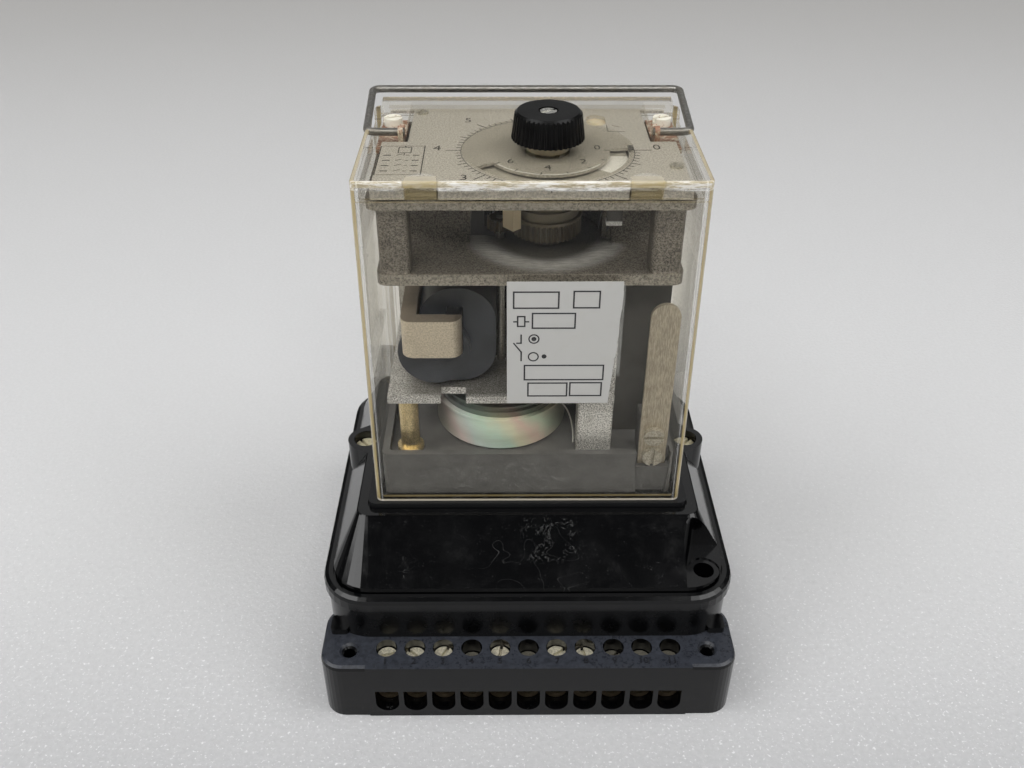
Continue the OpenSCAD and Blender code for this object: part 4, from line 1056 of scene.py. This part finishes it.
class Print:
    """Collects flat printed shapes on one plane as thin solids."""

    def __init__(self, plane: Plane, lift: float = 0.005, thick: float = 0.02) -> None:
        """Starts an empty print.

        Args:
            plane: Where it lies.
            lift: Height of its underside over the plane, in millimetres.
            thick: Thickness in millimetres.
        """
        self.plane = plane
        self.lift = lift
        self.thick = thick
        self.bm = bmesh.new()

    def shape(self, outline: Sequence[Spot]) -> None:
        """Adds one filled outline.

        Args:
            outline: Its corners, anticlockwise in millimetres.
        """
        low, high = (
            [self.bm.verts.new(self.plane.at(u, v, lift)) for u, v in outline]
            for lift in (self.lift, self.lift + self.thick)
        )
        self.bm.faces.new(high)
        self.bm.faces.new(low[::-1])
        for i in range(len(outline)):
            j = (i + 1) % len(outline)
            self.bm.faces.new((low[i], low[j], high[j], high[i]))

    def bar(self, u0: float, v0: float, u1: float, v1: float) -> None:
        """Adds an upright rectangle between two corners."""
        self.shape([(u0, v0), (u1, v0), (u1, v1), (u0, v1)])

    def line(self, start: Spot, end: Spot, width: float) -> None:
        """Adds a straight stroke with square ends.

        Args:
            start: Where it starts.
            end: Where it ends.
            width: Its width.
        """
        a, b = Vector(start), Vector(end)
        along = (b - a).normalized() * width / 2
        side = Vector((-along.y, along.x))
        corners = [a - along - side, b + along - side, b + along + side, a - along + side]
        self.shape([(c.x, c.y) for c in corners])

    def frame(self, low: Spot, high: Spot, width: float) -> None:
        """Adds the outline of a rectangle.

        Args:
            low: Its lower left corner.
            high: Its upper right corner.
            width: The stroke's width.
        """
        (u0, v0), (u1, v1) = low, high
        h = width / 2
        for v in (v0, v1):
            self.bar(u0 - h, v - h, u1 + h, v + h)
        for u in (u0, u1):
            self.bar(u - h, v0 + h, u + h, v1 - h)

    def arc(self, centre: Spot, radius: float, width: float, start: float = 0.0, sweep: float = 360.0) -> None:
        """Adds an arc as short strokes.

        Args:
            centre: Its centre.
            radius: Its radius at mid-width.
            width: The stroke's width.
            start: Angle of its start in degrees.
            sweep: Angle that it covers.
        """
        steps = max(8, int(abs(sweep) / 6))
        inner, outer = radius - width / 2, radius + width / 2
        for i in range(steps):
            a, b = sorted(math.radians(start + sweep * k / steps) for k in (i, i + 1))
            corners = ((inner, a), (outer, a), (outer, b), (inner, b))
            self.shape([(centre[0] + r * math.cos(t), centre[1] + r * math.sin(t)) for r, t in corners])

    def dot(self, centre: Spot, radius: float) -> None:
        """Adds a filled disc."""
        angles = [t * math.tau / 20 for t in range(20)]
        self.shape([(centre[0] + radius * math.cos(t), centre[1] + radius * math.sin(t)) for t in angles])

    def figure(self, text: str, centre: Spot, height: float, squeeze: float = 1.0) -> None:
        """Adds a plain number, centred.

        Args:
            text: Its digits.
            centre: Its middle on the plane.
            height: Height of a digit in millimetres.
            squeeze: Factor on its width.
        """
        curve = bpy.data.curves.new("digits", "FONT")
        curve.body = text
        curve.align_x = curve.align_y = "CENTER"
        curve.size = height * MM / DIGIT_SHARE
        curve.extrude = self.thick * MM / 2
        curve.resolution_u = 4
        mesh = evaluated_mesh(placed("digits", curve))
        mesh.transform(Matrix.Diagonal((squeeze, 1.0, 1.0, 1.0)))
        mesh.transform(self.plane.matrix(*centre, self.lift + self.thick / 2))
        self.bm.from_mesh(mesh)
        bpy.data.meshes.remove(mesh)

    def piece(self, name: str, material: Material, body: str, slot: str) -> Object:
        """Closes the print and makes it a piece of the relay.

        Args:
            name: The piece's name.
            material: Its finish.
            body: The body that it moves with.
            slot: The record's material slot; not used.

        Returns:
            The piece.
        """
        bmesh.ops.recalc_face_normals(self.bm, faces=self.bm.faces)
        made = bpy.data.meshes.new(name)
        self.bm.to_mesh(made)
        self.bm.free()
        return new_piece(name, made, material, body)


class GeometryTree(Nodes):
    """A Geometry Nodes tree with named inputs that ends in one mesh."""

    def __init__(self, name: str) -> None:
        """Starts the tree with its geometry output.

        Args:
            name: The tree's name.
        """
        super().__init__(bpy.data.node_groups.new(name, "GeometryNodeTree"))
        self.tree.interface.new_socket("Geometry", in_out="OUTPUT", socket_type="NodeSocketGeometry")
        self.entry = self.node("NodeGroupInput")
        self.exit = self.node("NodeGroupOutput")
        self.settings: dict[str, float] = {}

    def given(self, name: str, number: float) -> Value:
        """Adds a named input with its value.

        Args:
            name: The input's name.
            number: Its value on this piece.

        Returns:
            The value that carries it.
        """
        kind = "NodeSocketInt" if isinstance(number, int) else "NodeSocketFloat"
        made = self.tree.interface.new_socket(name, in_out="INPUT", socket_type=kind)
        self.settings[made.identifier] = number
        return Value(self, self.entry.outputs[name])

    def build(self, geometry: Socket, material: Material, name: str) -> Mesh:
        """Realizes the instances, sets the material and returns a plain mesh.

        Args:
            geometry: The geometry to put out.
            material: Its finish.
            name: The mesh's name.

        Returns:
            The mesh.
        """
        real = self.node("GeometryNodeRealizeInstances", {}, {"Geometry": geometry})
        dressed = self.node("GeometryNodeSetMaterial", {}, {"Geometry": real.outputs[0], "Material": material})
        self.tree.links.new(dressed.outputs[0], self.exit.inputs[0])
        holder = placed(name, bpy.data.meshes.new(name))
        modifier = holder.modifiers.new("nodes", "NODES")
        modifier.node_group = self.tree
        for identifier, number in self.settings.items():
            modifier[identifier] = number
        mesh = evaluated_mesh(holder)
        mesh.name = name
        return mesh


@dataclass
class Scale:
    """The dial's printing: its ring of ticks, its figures and its blank table."""

    ring: float = 24.6
    lip: float = 17.35
    lip_width: float = 0.45
    lip_start: float = -36
    lip_sweep: float = -108
    inner_starts: Spot = (16.1, 16.3)
    inner_end: float = 17.3
    inner_step: float = -24.5
    step: float = 45.0
    units: int = 6
    ticks: int = 61
    short: float = 1.5
    extra: float = 1.1
    unit_extra: float = 1.6
    tick_height: float = 0.016
    stroke: float = 0.34
    fine: float = 0.24
    thick: float = 0.02
    lead: tuple[tuple[Spot, Spot], ...] = (
        ((18.4, 20.0), (18.4, 14.6)), ((18.4, 14.6), (23.4, 14.6)), ((20.2, 19.6), (22.2, 18.2))
    )
    outer_figures: tuple[tuple[int, float, float], ...] = (
        (0, 31.2, 2.1), (3, -23.2, -19.3), (4, -31.4, 1.6), (5, -23.2, 23.9), (6, 0.0, 33.4)
    )
    inner_figures: tuple[tuple[int, float, float], ...] = (
        (0, 14.2, 2.0), (2, 9.6, -8.2), (4, -0.4, -12.4), (6, -10.6, -8.0)
    )
    table: tuple[Spot, Spot] = ((-47.4, -17.3), (-34.9, 3.2))
    dashes: int = 10
    rows: int = 4
    row_gap: float = 3.7
    ink: Ink = Ink("dial_ink", (0.03, 0.029, 0.026), (0.12, 0.11, 0.09))
    lip_paint: Ink = Ink("lip_paint", (0.95, 0.95, 0.92), (0.8, 0.79, 0.72))

    def build(self) -> None:
        """Makes the tick ring, the painted highlight along the window's lip and the rest of the print."""
        material = self.ink.make()
        self._ticks(material)
        # Painted highlight: a pale arc along the window's inner edge, where the edge catches light
        lip = Print(Plane((*DIAL_AXIS, DIAL_TOP)))
        lip.arc((0, 0), self.lip, self.lip_width, self.lip_start, self.lip_sweep)
        lip.piece("window_lip", self.lip_paint.make(), "base", "dial_silver")
        self._figures(material)

    def _ticks(self, material: Material) -> None:
        """Makes the ring of ticks, longer at each half unit and longest at each unit.

        Args:
            material: The ink.
        """
        t = GeometryTree("tick_ring")
        count = t.given("Count", self.ticks)
        turn = t.given("Step Angle", math.radians(-self.step * self.units / (self.ticks - 1)))
        sizes = {
            "Ring Radius": self.ring,
            "Short Length": self.short,
            "Extra Length": self.extra,
            "Width": self.stroke,
            "Thickness": self.thick,
            "Height": DIAL_TOP + self.tick_height,
            "Centre X": DIAL_AXIS[0],
            "Centre Y": DIAL_AXIS[1],
        }
        given = (t.given(name, size * MM) for name, size in sizes.items())
        radius, short, extra, width, thick, height, middle_x, middle_y = given
        # On the points, the index is the tick's own, so length and angle are each tick's own too
        index = t.value("GeometryNodeInputIndex")
        angle = index * turn
        halves, units = ((index % every).below(0.5) for every in (5.0, 10.0))
        length = short + extra * (halves + units * self.unit_extra)
        out = radius + length * 0.5
        across, along = middle_x + out * angle.apply("COSINE"), middle_y + out * angle.apply("SINE")
        place, spin, shape = (
            t.node("ShaderNodeCombineXYZ", {}, parts).outputs[0]
            for parts in ({0: across, 1: along, 2: height}, {2: angle}, {0: length, 1: width, 2: thick})
        )
        points = t.node("GeometryNodePoints", {}, {"Count": count, "Position": place}).outputs[0]
        bar = t.node("GeometryNodeMeshCube", {}, {"Size": (1.0, 1.0, 1.0)}).outputs[0]
        turned = t.node("FunctionNodeEulerToRotation", {}, {0: spin}).outputs[0]
        inputs = {"Points": points, "Instance": bar, "Rotation": turned, "Scale": shape}
        ticks = t.node("GeometryNodeInstanceOnPoints", {}, inputs).outputs[0]
        new_piece("dial_ticks", t.build(ticks, material, "dial_ticks"), material, "base")

    def _figures(self, material: Material) -> None:
        """Makes the ring line, the figures, the inner scale and the blank table.

        Args:
            material: The ink.
        """
        page = Print(Plane((*DIAL_AXIS, DIAL_TOP)))
        page.arc((0, 0), self.ring, 0.2, 0, -270)
        for figures, height, squeeze in ((self.outer_figures, 3.6, 0.95), (self.inner_figures, 3.2, 0.9)):
            for unit, u, v in figures:
                page.figure(str(unit), (u, v), height, squeeze)
        for unit in (0, 2, 4, 6, 1, 3, 5):
            angle = math.radians(self.inner_step * unit)
            reach = (self.inner_starts[unit % 2], self.inner_end)
            ends = [(r * math.cos(angle), r * math.sin(angle)) for r in reach]
            page.line(*ends, self.stroke)
        page.line((26.6, 0), (29.4, 0), self.stroke)
        self._table(page)
        for start, end in self.lead:
            page.line(start, end, self.fine)
        page.piece("dial_figures", material, "base", "dial_silver")

    def _table(self, page: Print) -> None:
        """Adds the terminal table at the left: its frame, a small symbol and rows of dots.

        Args:
            page: The dial's print.
        """
        (left, front), (right, rear) = self.table
        for side in (left, right):
            for dash in range(self.dashes):
                v = front + dash * (rear - front) / self.dashes
                page.line((side, v + 0.3), (side, v + 1.5), 0.3)
        page.frame((left, front), (right, rear), 0.2)
        page.frame((left + 5.2, rear - 5.0), (left + 8.8, rear - 1.0), 0.3)
        page.line((left + 7.0, rear - 5.0), (left + 7.0, rear - 6.8), 0.26)
        page.line((left + 7.0, rear - 1.0), (left + 7.0, rear), 0.26)
        for row in range(self.rows):
            v = front + 2.6 + row * self.row_gap
            page.line((left + 1.5, v), (left + 3.1, v), 0.5)
            page.line((right - 2.8, v), (right - 1.4, v), 0.5)
            page.line((left + 5.0, v), (left + 6.6, v + 0.9), 0.26)
            page.line((left + 7.6, v), (right - 4.2, v), 0.26)


@dataclass
class TerminalNumbers:
    """Plain moulded numbers in front of the screw wells."""

    pitch: float = 8.9
    count: int = 11
    line: float = -59.6
    height: float = 2.3
    finish: Moulding = Moulding("number_moulding", (0.011, 0.0115, 0.014), 0.3)

    def build(self) -> None:
        """Makes the raised numbers in the base's own moulding."""
        page = Print(Plane((0, self.line, SHELF_TOP)), -0.05, 0.25)
        for place in range(self.count):
            middle = (place - (self.count - 1) / 2) * self.pitch
            page.figure(str(place + 1), (middle, 0.0), self.height, 1.05)
        page.piece("terminal_numbers", self.finish.make(), "base", "bakelite_black")


@dataclass
class IndexMark:
    """The setting disc's index: a dark block of short strokes at its rim."""

    surface: float = 162.75
    start: float = 22.9
    end: float = 24.15
    first: float = -1.6
    strokes: int = 6
    gap: float = 0.64
    width: float = 0.42
    ink: Ink = Ink("index_ink", (0.03, 0.03, 0.03))

    def build(self) -> None:
        """Makes the mark, which turns with the knob."""
        page = Print(Plane((*DIAL_AXIS, self.surface)), 0.002, 0.03)
        for row in range(self.strokes):
            v = self.first + row * self.gap
            page.line((self.start, v), (self.end, v), self.width)
        page.piece("index_mark", self.ink.make(), "setting", "disc_clear")


@dataclass
class Label:
    """The rating label: a sheet with a torn right edge, plain boxes and symbols."""

    left: float = -6.6
    foot: float = 95.4
    width: float = 31.9
    height: float = 40.8
    thick: float = 0.16
    stroke: float = 0.44
    box_stroke: float = 0.46
    ring: float = 1.4
    dot: float = 0.72
    seed: int = 4
    ink: Ink = Ink("label_ink", (0.02, 0.02, 0.022), (0.12, 0.12, 0.12))
    edge: tuple[Spot, ...] = (
        (-1.9, 0.0), (-1.75, 4.0), (-1.5, 7.0), (-1.35, 9.0), (-1.1, 12.5), (-0.95, 15.5), (-0.3, 18.5),
        (-0.42, 21.5), (-0.12, 24.5), (-0.2, 27.5), (-0.02, 30.0), (0.3, 33.0), (0.42, 36.5), (0.2, 40.8),
    )
    boxes: tuple[tuple[Spot, Spot], ...] = (
        ((1.9, 32.5), (14.4, 37.6)), ((18.6, 32.6), (25.8, 37.8)), ((7.2, 26.0), (19.2, 30.8)),
        ((5.1, 8.4), (28.0, 13.4)), ((6.2, 2.6), (17.6, 7.2)), ((18.5, 2.7), (27.7, 7.3)),
    )
    coil: tuple[Spot, Spot] = ((3.05, 26.6), (5.05, 29.8))
    rings: tuple[tuple[Spot, Spot], ...] = (((7.7, 22.4), (7.7, 22.4)), ((7.6, 16.4), (10.7, 16.5)))
    strokes: tuple[tuple[Spot, Spot], ...] = (
        ((2.0, 28.1), (3.0, 28.1)), ((5.1, 28.1), (6.1, 28.1)), ((4.05, 23.7), (4.05, 21.0)),
        ((4.05, 21.0), (2.9, 21.0)), ((2.0, 20.9), (4.1, 18.0)), ((4.1, 18.0), (4.1, 15.1)),
    )

    def build(self) -> None:
        """Makes the sheet on the cover's front face, and its print."""
        lean = math.radians(COVER_LEAN)
        y = COVER_FRONT - (COVER_TOP - self.foot) * math.tan(lean)
        plane = Plane((self.left, y - 0.012, self.foot), (0, math.sin(lean), math.cos(lean)))
        sheet = Print(plane, 0.0, self.thick)
        sheet.shape(self._outline())
        paper = sheet.piece("label_sheet", Paper("label_paper").make(), "base", "label_white")
        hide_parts("rating_label")
        page = Print(plane, self.thick + 0.004, 0.02)
        for low, high in self.boxes:
            page.frame(low, high, self.box_stroke)
        page.frame(*self.coil, self.stroke)
        for start, end in self.strokes:
            page.line(start, end, self.stroke)
        for ring, dot in self.rings:
            page.arc(ring, self.ring, 0.4)
            page.dot(dot, self.dot)
        page.piece("label_print", self.ink.make(), "base", "label_white")

    def _outline(self) -> list[Spot]:
        """Outline with a wavy, slanting right edge.

        Returns:
            Its corners, anticlockwise.
        """
        soft = random.Random(self.seed)
        torn: list[Spot] = []
        for (u0, v0), (u1, v1) in zip(self.edge, self.edge[1:]):
            for share in (k / 5 for k in range(5)):
                torn.append((u0 + (u1 - u0) * share + soft.uniform(-0.07, 0.07), v0 + (v1 - v0) * share))
        torn.append(self.edge[-1])
        return [(0.0, 0.0)] + [(self.width + u, v) for u, v in torn] + [(0.0, self.height)]


@dataclass
class Wire:
    """A round wire that follows a route, made by Geometry Nodes."""

    name: str
    route: Sequence[Point]
    thick: float = 0.6
    finish: Finish = Matt("wire_sleeve", (0.02, 0.02, 0.022), 0.45)
    slot: str = "coil_black"
    sides: int = 10

    def build(self) -> None:
        """Sweeps the wire along its smoothed route."""
        material = self.finish.make()
        curve = bpy.data.curves.new(self.name, "CURVE")
        curve.dimensions = "3D"
        spline = curve.splines.new("NURBS")
        spline.points.add(len(self.route) - 1)
        for point, place in zip(spline.points, self.route):
            point.co = (*(c * MM for c in place), 1.0)
        spline.use_endpoint_u = True
        spline.order_u = 3
        spline.resolution_u = 6
        source = placed(self.name + "_route", curve)
        t = GeometryTree(self.name + "_sweep")
        radius = t.given("Wire Radius", self.thick * MM / 2)
        sides = t.given("Sides", self.sides)
        path = t.node("GeometryNodeObjectInfo", {}, {"Object": source}).outputs["Geometry"]
        ring = t.node("GeometryNodeCurvePrimitiveCircle", {}, {"Resolution": sides, "Radius": radius}).outputs[0]
        inputs = {"Curve": path, "Profile Curve": ring, "Fill Caps": True}
        sweep = t.node("GeometryNodeCurveToMesh", {}, inputs).outputs[0]
        smooth = t.node("GeometryNodeSetShadeSmooth", {}, {"Geometry": sweep}).outputs[0]
        mesh = t.build(smooth, material, self.name)
        bpy.data.objects.remove(source)
        new_piece(self.name, mesh, material, "base")


@dataclass
class Studio:
    """Floor, lamps, world and the camera."""

    lens: float = 34.424
    place: Point = (-7.23, -258.49, 267.2)
    pitch: float = 35.06
    yaw: float = 0.52
    roll: float = -0.16
    floor_size: float = 4.0
    level: float = 0.06
    horizon: float = 0.5

    def camera(self) -> None:
        """Puts the camera at the photograph's viewing angle."""
        p, w, r = (math.radians(a) for a in (self.pitch, self.yaw, self.roll))
        ahead = Vector((math.sin(w) * math.cos(p), math.cos(w) * math.cos(p), -math.sin(p)))
        right = Vector((math.cos(w), -math.sin(w), 0.0))
        down = ahead.cross(right)
        across = right * math.cos(r) + down * math.sin(r)
        drop = down * math.cos(r) - right * math.sin(r)
        data = bpy.data.cameras.new("camera")
        data.lens = self.lens
        data.sensor_width = 36.0
        data.clip_start = 0.01
        camera = placed("camera", data)
        turn = Matrix((across, -drop, -ahead)).transposed()
        camera.matrix_world = Matrix.Translation(Vector(self.place) * MM) @ turn.to_4x4()
        bpy.context.scene.camera = camera

    def floor(self) -> None:
        """Makes the pale sheet that the relay stands on."""
        bm = bmesh.new()
        bmesh.ops.create_grid(bm, x_segments=2, y_segments=2, size=self.floor_size)
        mesh = bpy.data.meshes.new("floor_sheet")
        bm.to_mesh(mesh)
        bm.free()
        mesh.materials.append(Sheet("backdrop", horizon=self.horizon).make())
        placed("floor_sheet", mesh)

    def lamp(self, name: str, place: Point, aim: Point, size: Spot, power: float) -> None:
        """Adds one soft rectangular lamp.

        Args:
            name: The lamp's name.
            place: Its place in metres.
            aim: The point that it faces.
            size: Its width and height in metres.
            power: Its power in watts.
        """
        data = bpy.data.lights.new(name, "AREA")
        data.shape = "RECTANGLE"
        data.size, data.size_y = size
        data.energy = power
        facing = (Vector(aim) - Vector(place)).to_track_quat("-Z", "Y")
        placed(name, data).matrix_world = Matrix.Translation(Vector(place)) @ facing.to_matrix().to_4x4()

    def world(self) -> None:
        """Sets the even light around the scene, and a pale horizon for what looks straight at it."""
        world = bpy.data.worlds.new("surround")
        world.use_nodes = True
        n = Nodes(world.node_tree)
        ahead = n.node("ShaderNodeTexCoord").outputs["Generated"]
        height = n.node("ShaderNodeSeparateXYZ", {}, {0: ahead}).outputs["Z"]
        low = n.value("ShaderNodeMapRange", {}, {"Value": height, "From Min": 0.2, "From Max": 0.03})
        camera, glossy, through = (n.value("ShaderNodeLightPath", output=f"Is {ray} Ray") for ray in SEEN_BY)
        seen = camera.most(through).most(glossy * low)
        inputs = {"Value": seen, "To Min": self.level, "To Max": self.horizon}
        strength = n.node("ShaderNodeMapRange", {}, inputs).outputs[0]
        even = n.tree.nodes["Background"]
        even.inputs["Color"].default_value = (0.99, 0.985, 0.975, 1.0)
        n.tree.links.new(strength, even.inputs["Strength"])
        bpy.context.scene.world = world

    def build(self) -> None:
        """Sets up the whole studio."""
        self.camera()
        self.floor()
        self.world()
        self.lamp("left_box", (-1.05, -0.3, 1.5), (0, 0, 0.05), (1.0, 1.2), 17.5)
        self.lamp("right_box", (1.05, -0.25, 1.5), (0, 0, 0.05), (1.0, 1.2), 16.5)
        self.lamp("back_sky", (0.0, 1.9, 1.6), (0, 0, 0.1), (2.6, 1.1), 6)
        self.lamp("front_box", (-0.1, -1.2, 1.5), (0, 0, 0.1), (1.6, 0.4), 18)
        bpy.context.scene.view_settings.view_transform = "Standard"


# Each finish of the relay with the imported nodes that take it
FINISHES: list[tuple[Finish, str]] = [
    (Moulding("base_moulding", gloss=0.16, bloom=0.45), "terminal_base"),
    (Moulding("hood_moulding", gloss=0.1, smears=True), "plinth"),
    (Tray("relay_base_plastic", (0.125, 0.125, 0.125), 0.42, dust=0.2, grain_mm=2.5, relief_mm=0.006), "relay_base"),
    (Metal("block_brass", (0.06, 0.045, 0.025), 0.5, metallic=0.5, tarnish=0.4), "terminal_blocks"),
    (TerminalScrews("terminal_screw", (0.6, 0.56, 0.43), 0.36, metallic=0.5, tarnish=0.5), "terminal_screws"),
    (Metal("brass", (0.74, 0.61, 0.36), 0.3, tarnish=0.34, stain=(0.2, 0.13, 0.06)),
     "socket_clips plug_blades brass_post contact_springs"),
    (Metal("cream_screw", (0.7, 0.64, 0.44), 0.36, metallic=0.3, tarnish=0.2), "plinth_screws"),
    (Matt("brown_laminate", (0.1, 0.06, 0.03), 0.5), "plug_plate"),
    (ClearCover("clear_cover"), "cover"),
    (Paper("label_stock"), "rating_label"),
    (Metal("bail_wire", (0.24, 0.233, 0.213), 0.36, Pattern.BRUSHED, tarnish=0.4, run=(10, 10, 1)), "bail"),
    (Varnish("bracket_varnish", cover=0.55), "bail_brackets"),
    (Varnish("screw_varnish", cover=0.36, bare=(0.8, 0.77, 0.66)), "bracket_screws"),
    (Matt("knob_moulding", (0.001, 0.001, 0.0011), 0.33, grain_mm=0.5, dust=0.05, index=1.25), "knob"),
    (Metal("knob_screw_steel", (0.8, 0.79, 0.74), 0.2, tarnish=0.1), "knob_screw"),
    (Matt("cream_plastic", (0.66, 0.58, 0.42), 0.4, glow=0.3), "knob_collar setting_cam dial_pad"),
    (ClearPlastic("clear_disc", (0.985, 0.98, 0.965), haze=0.02, scratches=0.6), "index_disc"),
    (Metal("steel", (0.5, 0.49, 0.45), 0.34),
     "setting_spindle drive_shaft rear_columns magnet_bracket armature armature_pin"),
    (Metal("dial_face", (0.56, 0.535, 0.485), 0.4, metallic=0.3, tarnish=0.1, stain=(0.36, 0.33, 0.26)), "dial_plate"),
    (Metal("nickel", (0.62, 0.6, 0.53), 0.3, metallic=0.8, tarnish=0.08), "dial_screws"),
    (FrameCasting("zinc_casting", (0.205, 0.187, 0.162), 0.5, Pattern.CAST, 0.4, 0.3, (0.05, 0.043, 0.037), spread=2.4),
     "upper_frame"),
    # The gear's colour is the cream plastic darkened as painted shade, and darker still below the level as painted
    # shade on the teeth
    (GearMoulding("aged_cream_painted_light", (0.26, 0.222, 0.152), 0.4, below=(0.15, 0.127, 0.09), level=142.5), "timing_gear"),
    (PointerDisc("pointer_disc", (0.46, 0.44, 0.39), 0.4), "elapsed_pointer"),
    # The pinion is darkened as painted shade: it sits in the shade behind the gear
    (Metal("painted_shade_brass", (0.1, 0.075, 0.04), 0.45, metallic=0.5, tarnish=0.4), "drive_pinion"),
    # The clip's pale colour is a painted highlight on its foot
    (SpringClip("spring_clip", (0.92, 0.91, 0.87), 0.3, metallic=0.3, tarnish=0.05), "stop_spring"),
    (PlateCasting("bright_casting", (0.74, 0.71, 0.63), 0.45, Pattern.CAST, 0.5, 0.35, (0.16, 0.15, 0.13), spread=2.8),
     "lower_frame"),
    (YellowZinc("yellow_zinc", 1.0, 0.02), "motor_can"),
    # The lid takes a darkened copy of the plating, painted shade under the plate
    (YellowZinc("painted_shade_yellow_zinc", 0.24, 0.5), "motor_lid"),
    (Yoke("yoke_nickel", (0.62, 0.55, 0.44), 0.45, metallic=0.4, tarnish=0.12, spread=0.7), "magnet_yoke"),
    (Matt("taped_coil", (0.04, 0.045, 0.056), 0.32, mottle=0.2, grain_mm=6, relief_mm=0.01),
     "coil_bobbin coil_winding"),
    # The back panel is near black as painted shade: it stands in for the dark open rear
    (Matt("painted_shade_laminate", (0.008, 0.008, 0.008), 0.5, grain_mm=2.5, relief_mm=0.006), "back_panel"),
    (Matt("panel_laminate", (0.1, 0.098, 0.093), 0.45, grain_mm=2.5, relief_mm=0.006), "contact_panel contact_block"),
    (Metal("strap_metal", (0.49, 0.44, 0.355), 0.42, Pattern.BRUSHED, 0.6, 0.3, run=(1, 1, 12)), "contact_strap"),
    (Metal("dull_nickel", (0.5, 0.47, 0.4), 0.42, metallic=0.5, tarnish=0.2), "strap_screws"),
]

MOTOR_LEAD = Wire(
    "motor_lead",
    [(8.6, -6.5, 89.7), (9.3, -8.2, 87.5), (10.6, -7.6, 84.2), (12.4, -6.6, 81.2), (13.8, -6.3, 77.6),
     (14.7, -6.6, 73.2), (14.9, -8.4, 70.9), (14.7, -11.0, 70.6)],
    0.5,
    Matt("clear_sleeve", (0.6, 0.6, 0.57), 0.25),
    "cream_plastic",
)
UPPER_LEADS = (
    Wire("upper_lead_left", [(23.4, 2.8, 154.9), (22.8, -2.0, 152.0), (20.6, -3.0, 148.5), (19.8, -1.0, 143.5),
                             (20.6, 2.6, 139.6)]),
    Wire("upper_lead_right", [(27.5, 3.0, 152.8), (26.6, -1.5, 149.4), (24.4, -3.4, 146.6), (22.2, -2.0, 142.0),
                              (22.8, 2.8, 138.8)]),
)


@dataclass
class Relay:
    """The relay's own pieces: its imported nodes, dressed, and the pieces added to them."""

    nodes: dict[str, Object]

    def dress(self) -> None:
        """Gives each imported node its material."""
        for finish, names in FINISHES:
            material = finish.make()
            for name in names.split():
                mesh = self.nodes[name].data
                mesh.materials.clear()
                mesh.materials.append(material)
                LOG.info("node %s: %s", name, finish.name)

    def build(self) -> None:
        """Dresses the nodes and makes every added piece."""
        self.dress()
        for part in (Scale(), TerminalNumbers(), IndexMark(), Label(), MOTOR_LEAD, *UPPER_LEADS):
            part.build()


def main() -> None:
    """Builds the whole scene."""
    logging.basicConfig(level=logging.INFO, format="%(message)s")
    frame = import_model()
    Relay(frame["nodes"]).build()
    Studio().build()


if __name__ == "__main__":
    main()
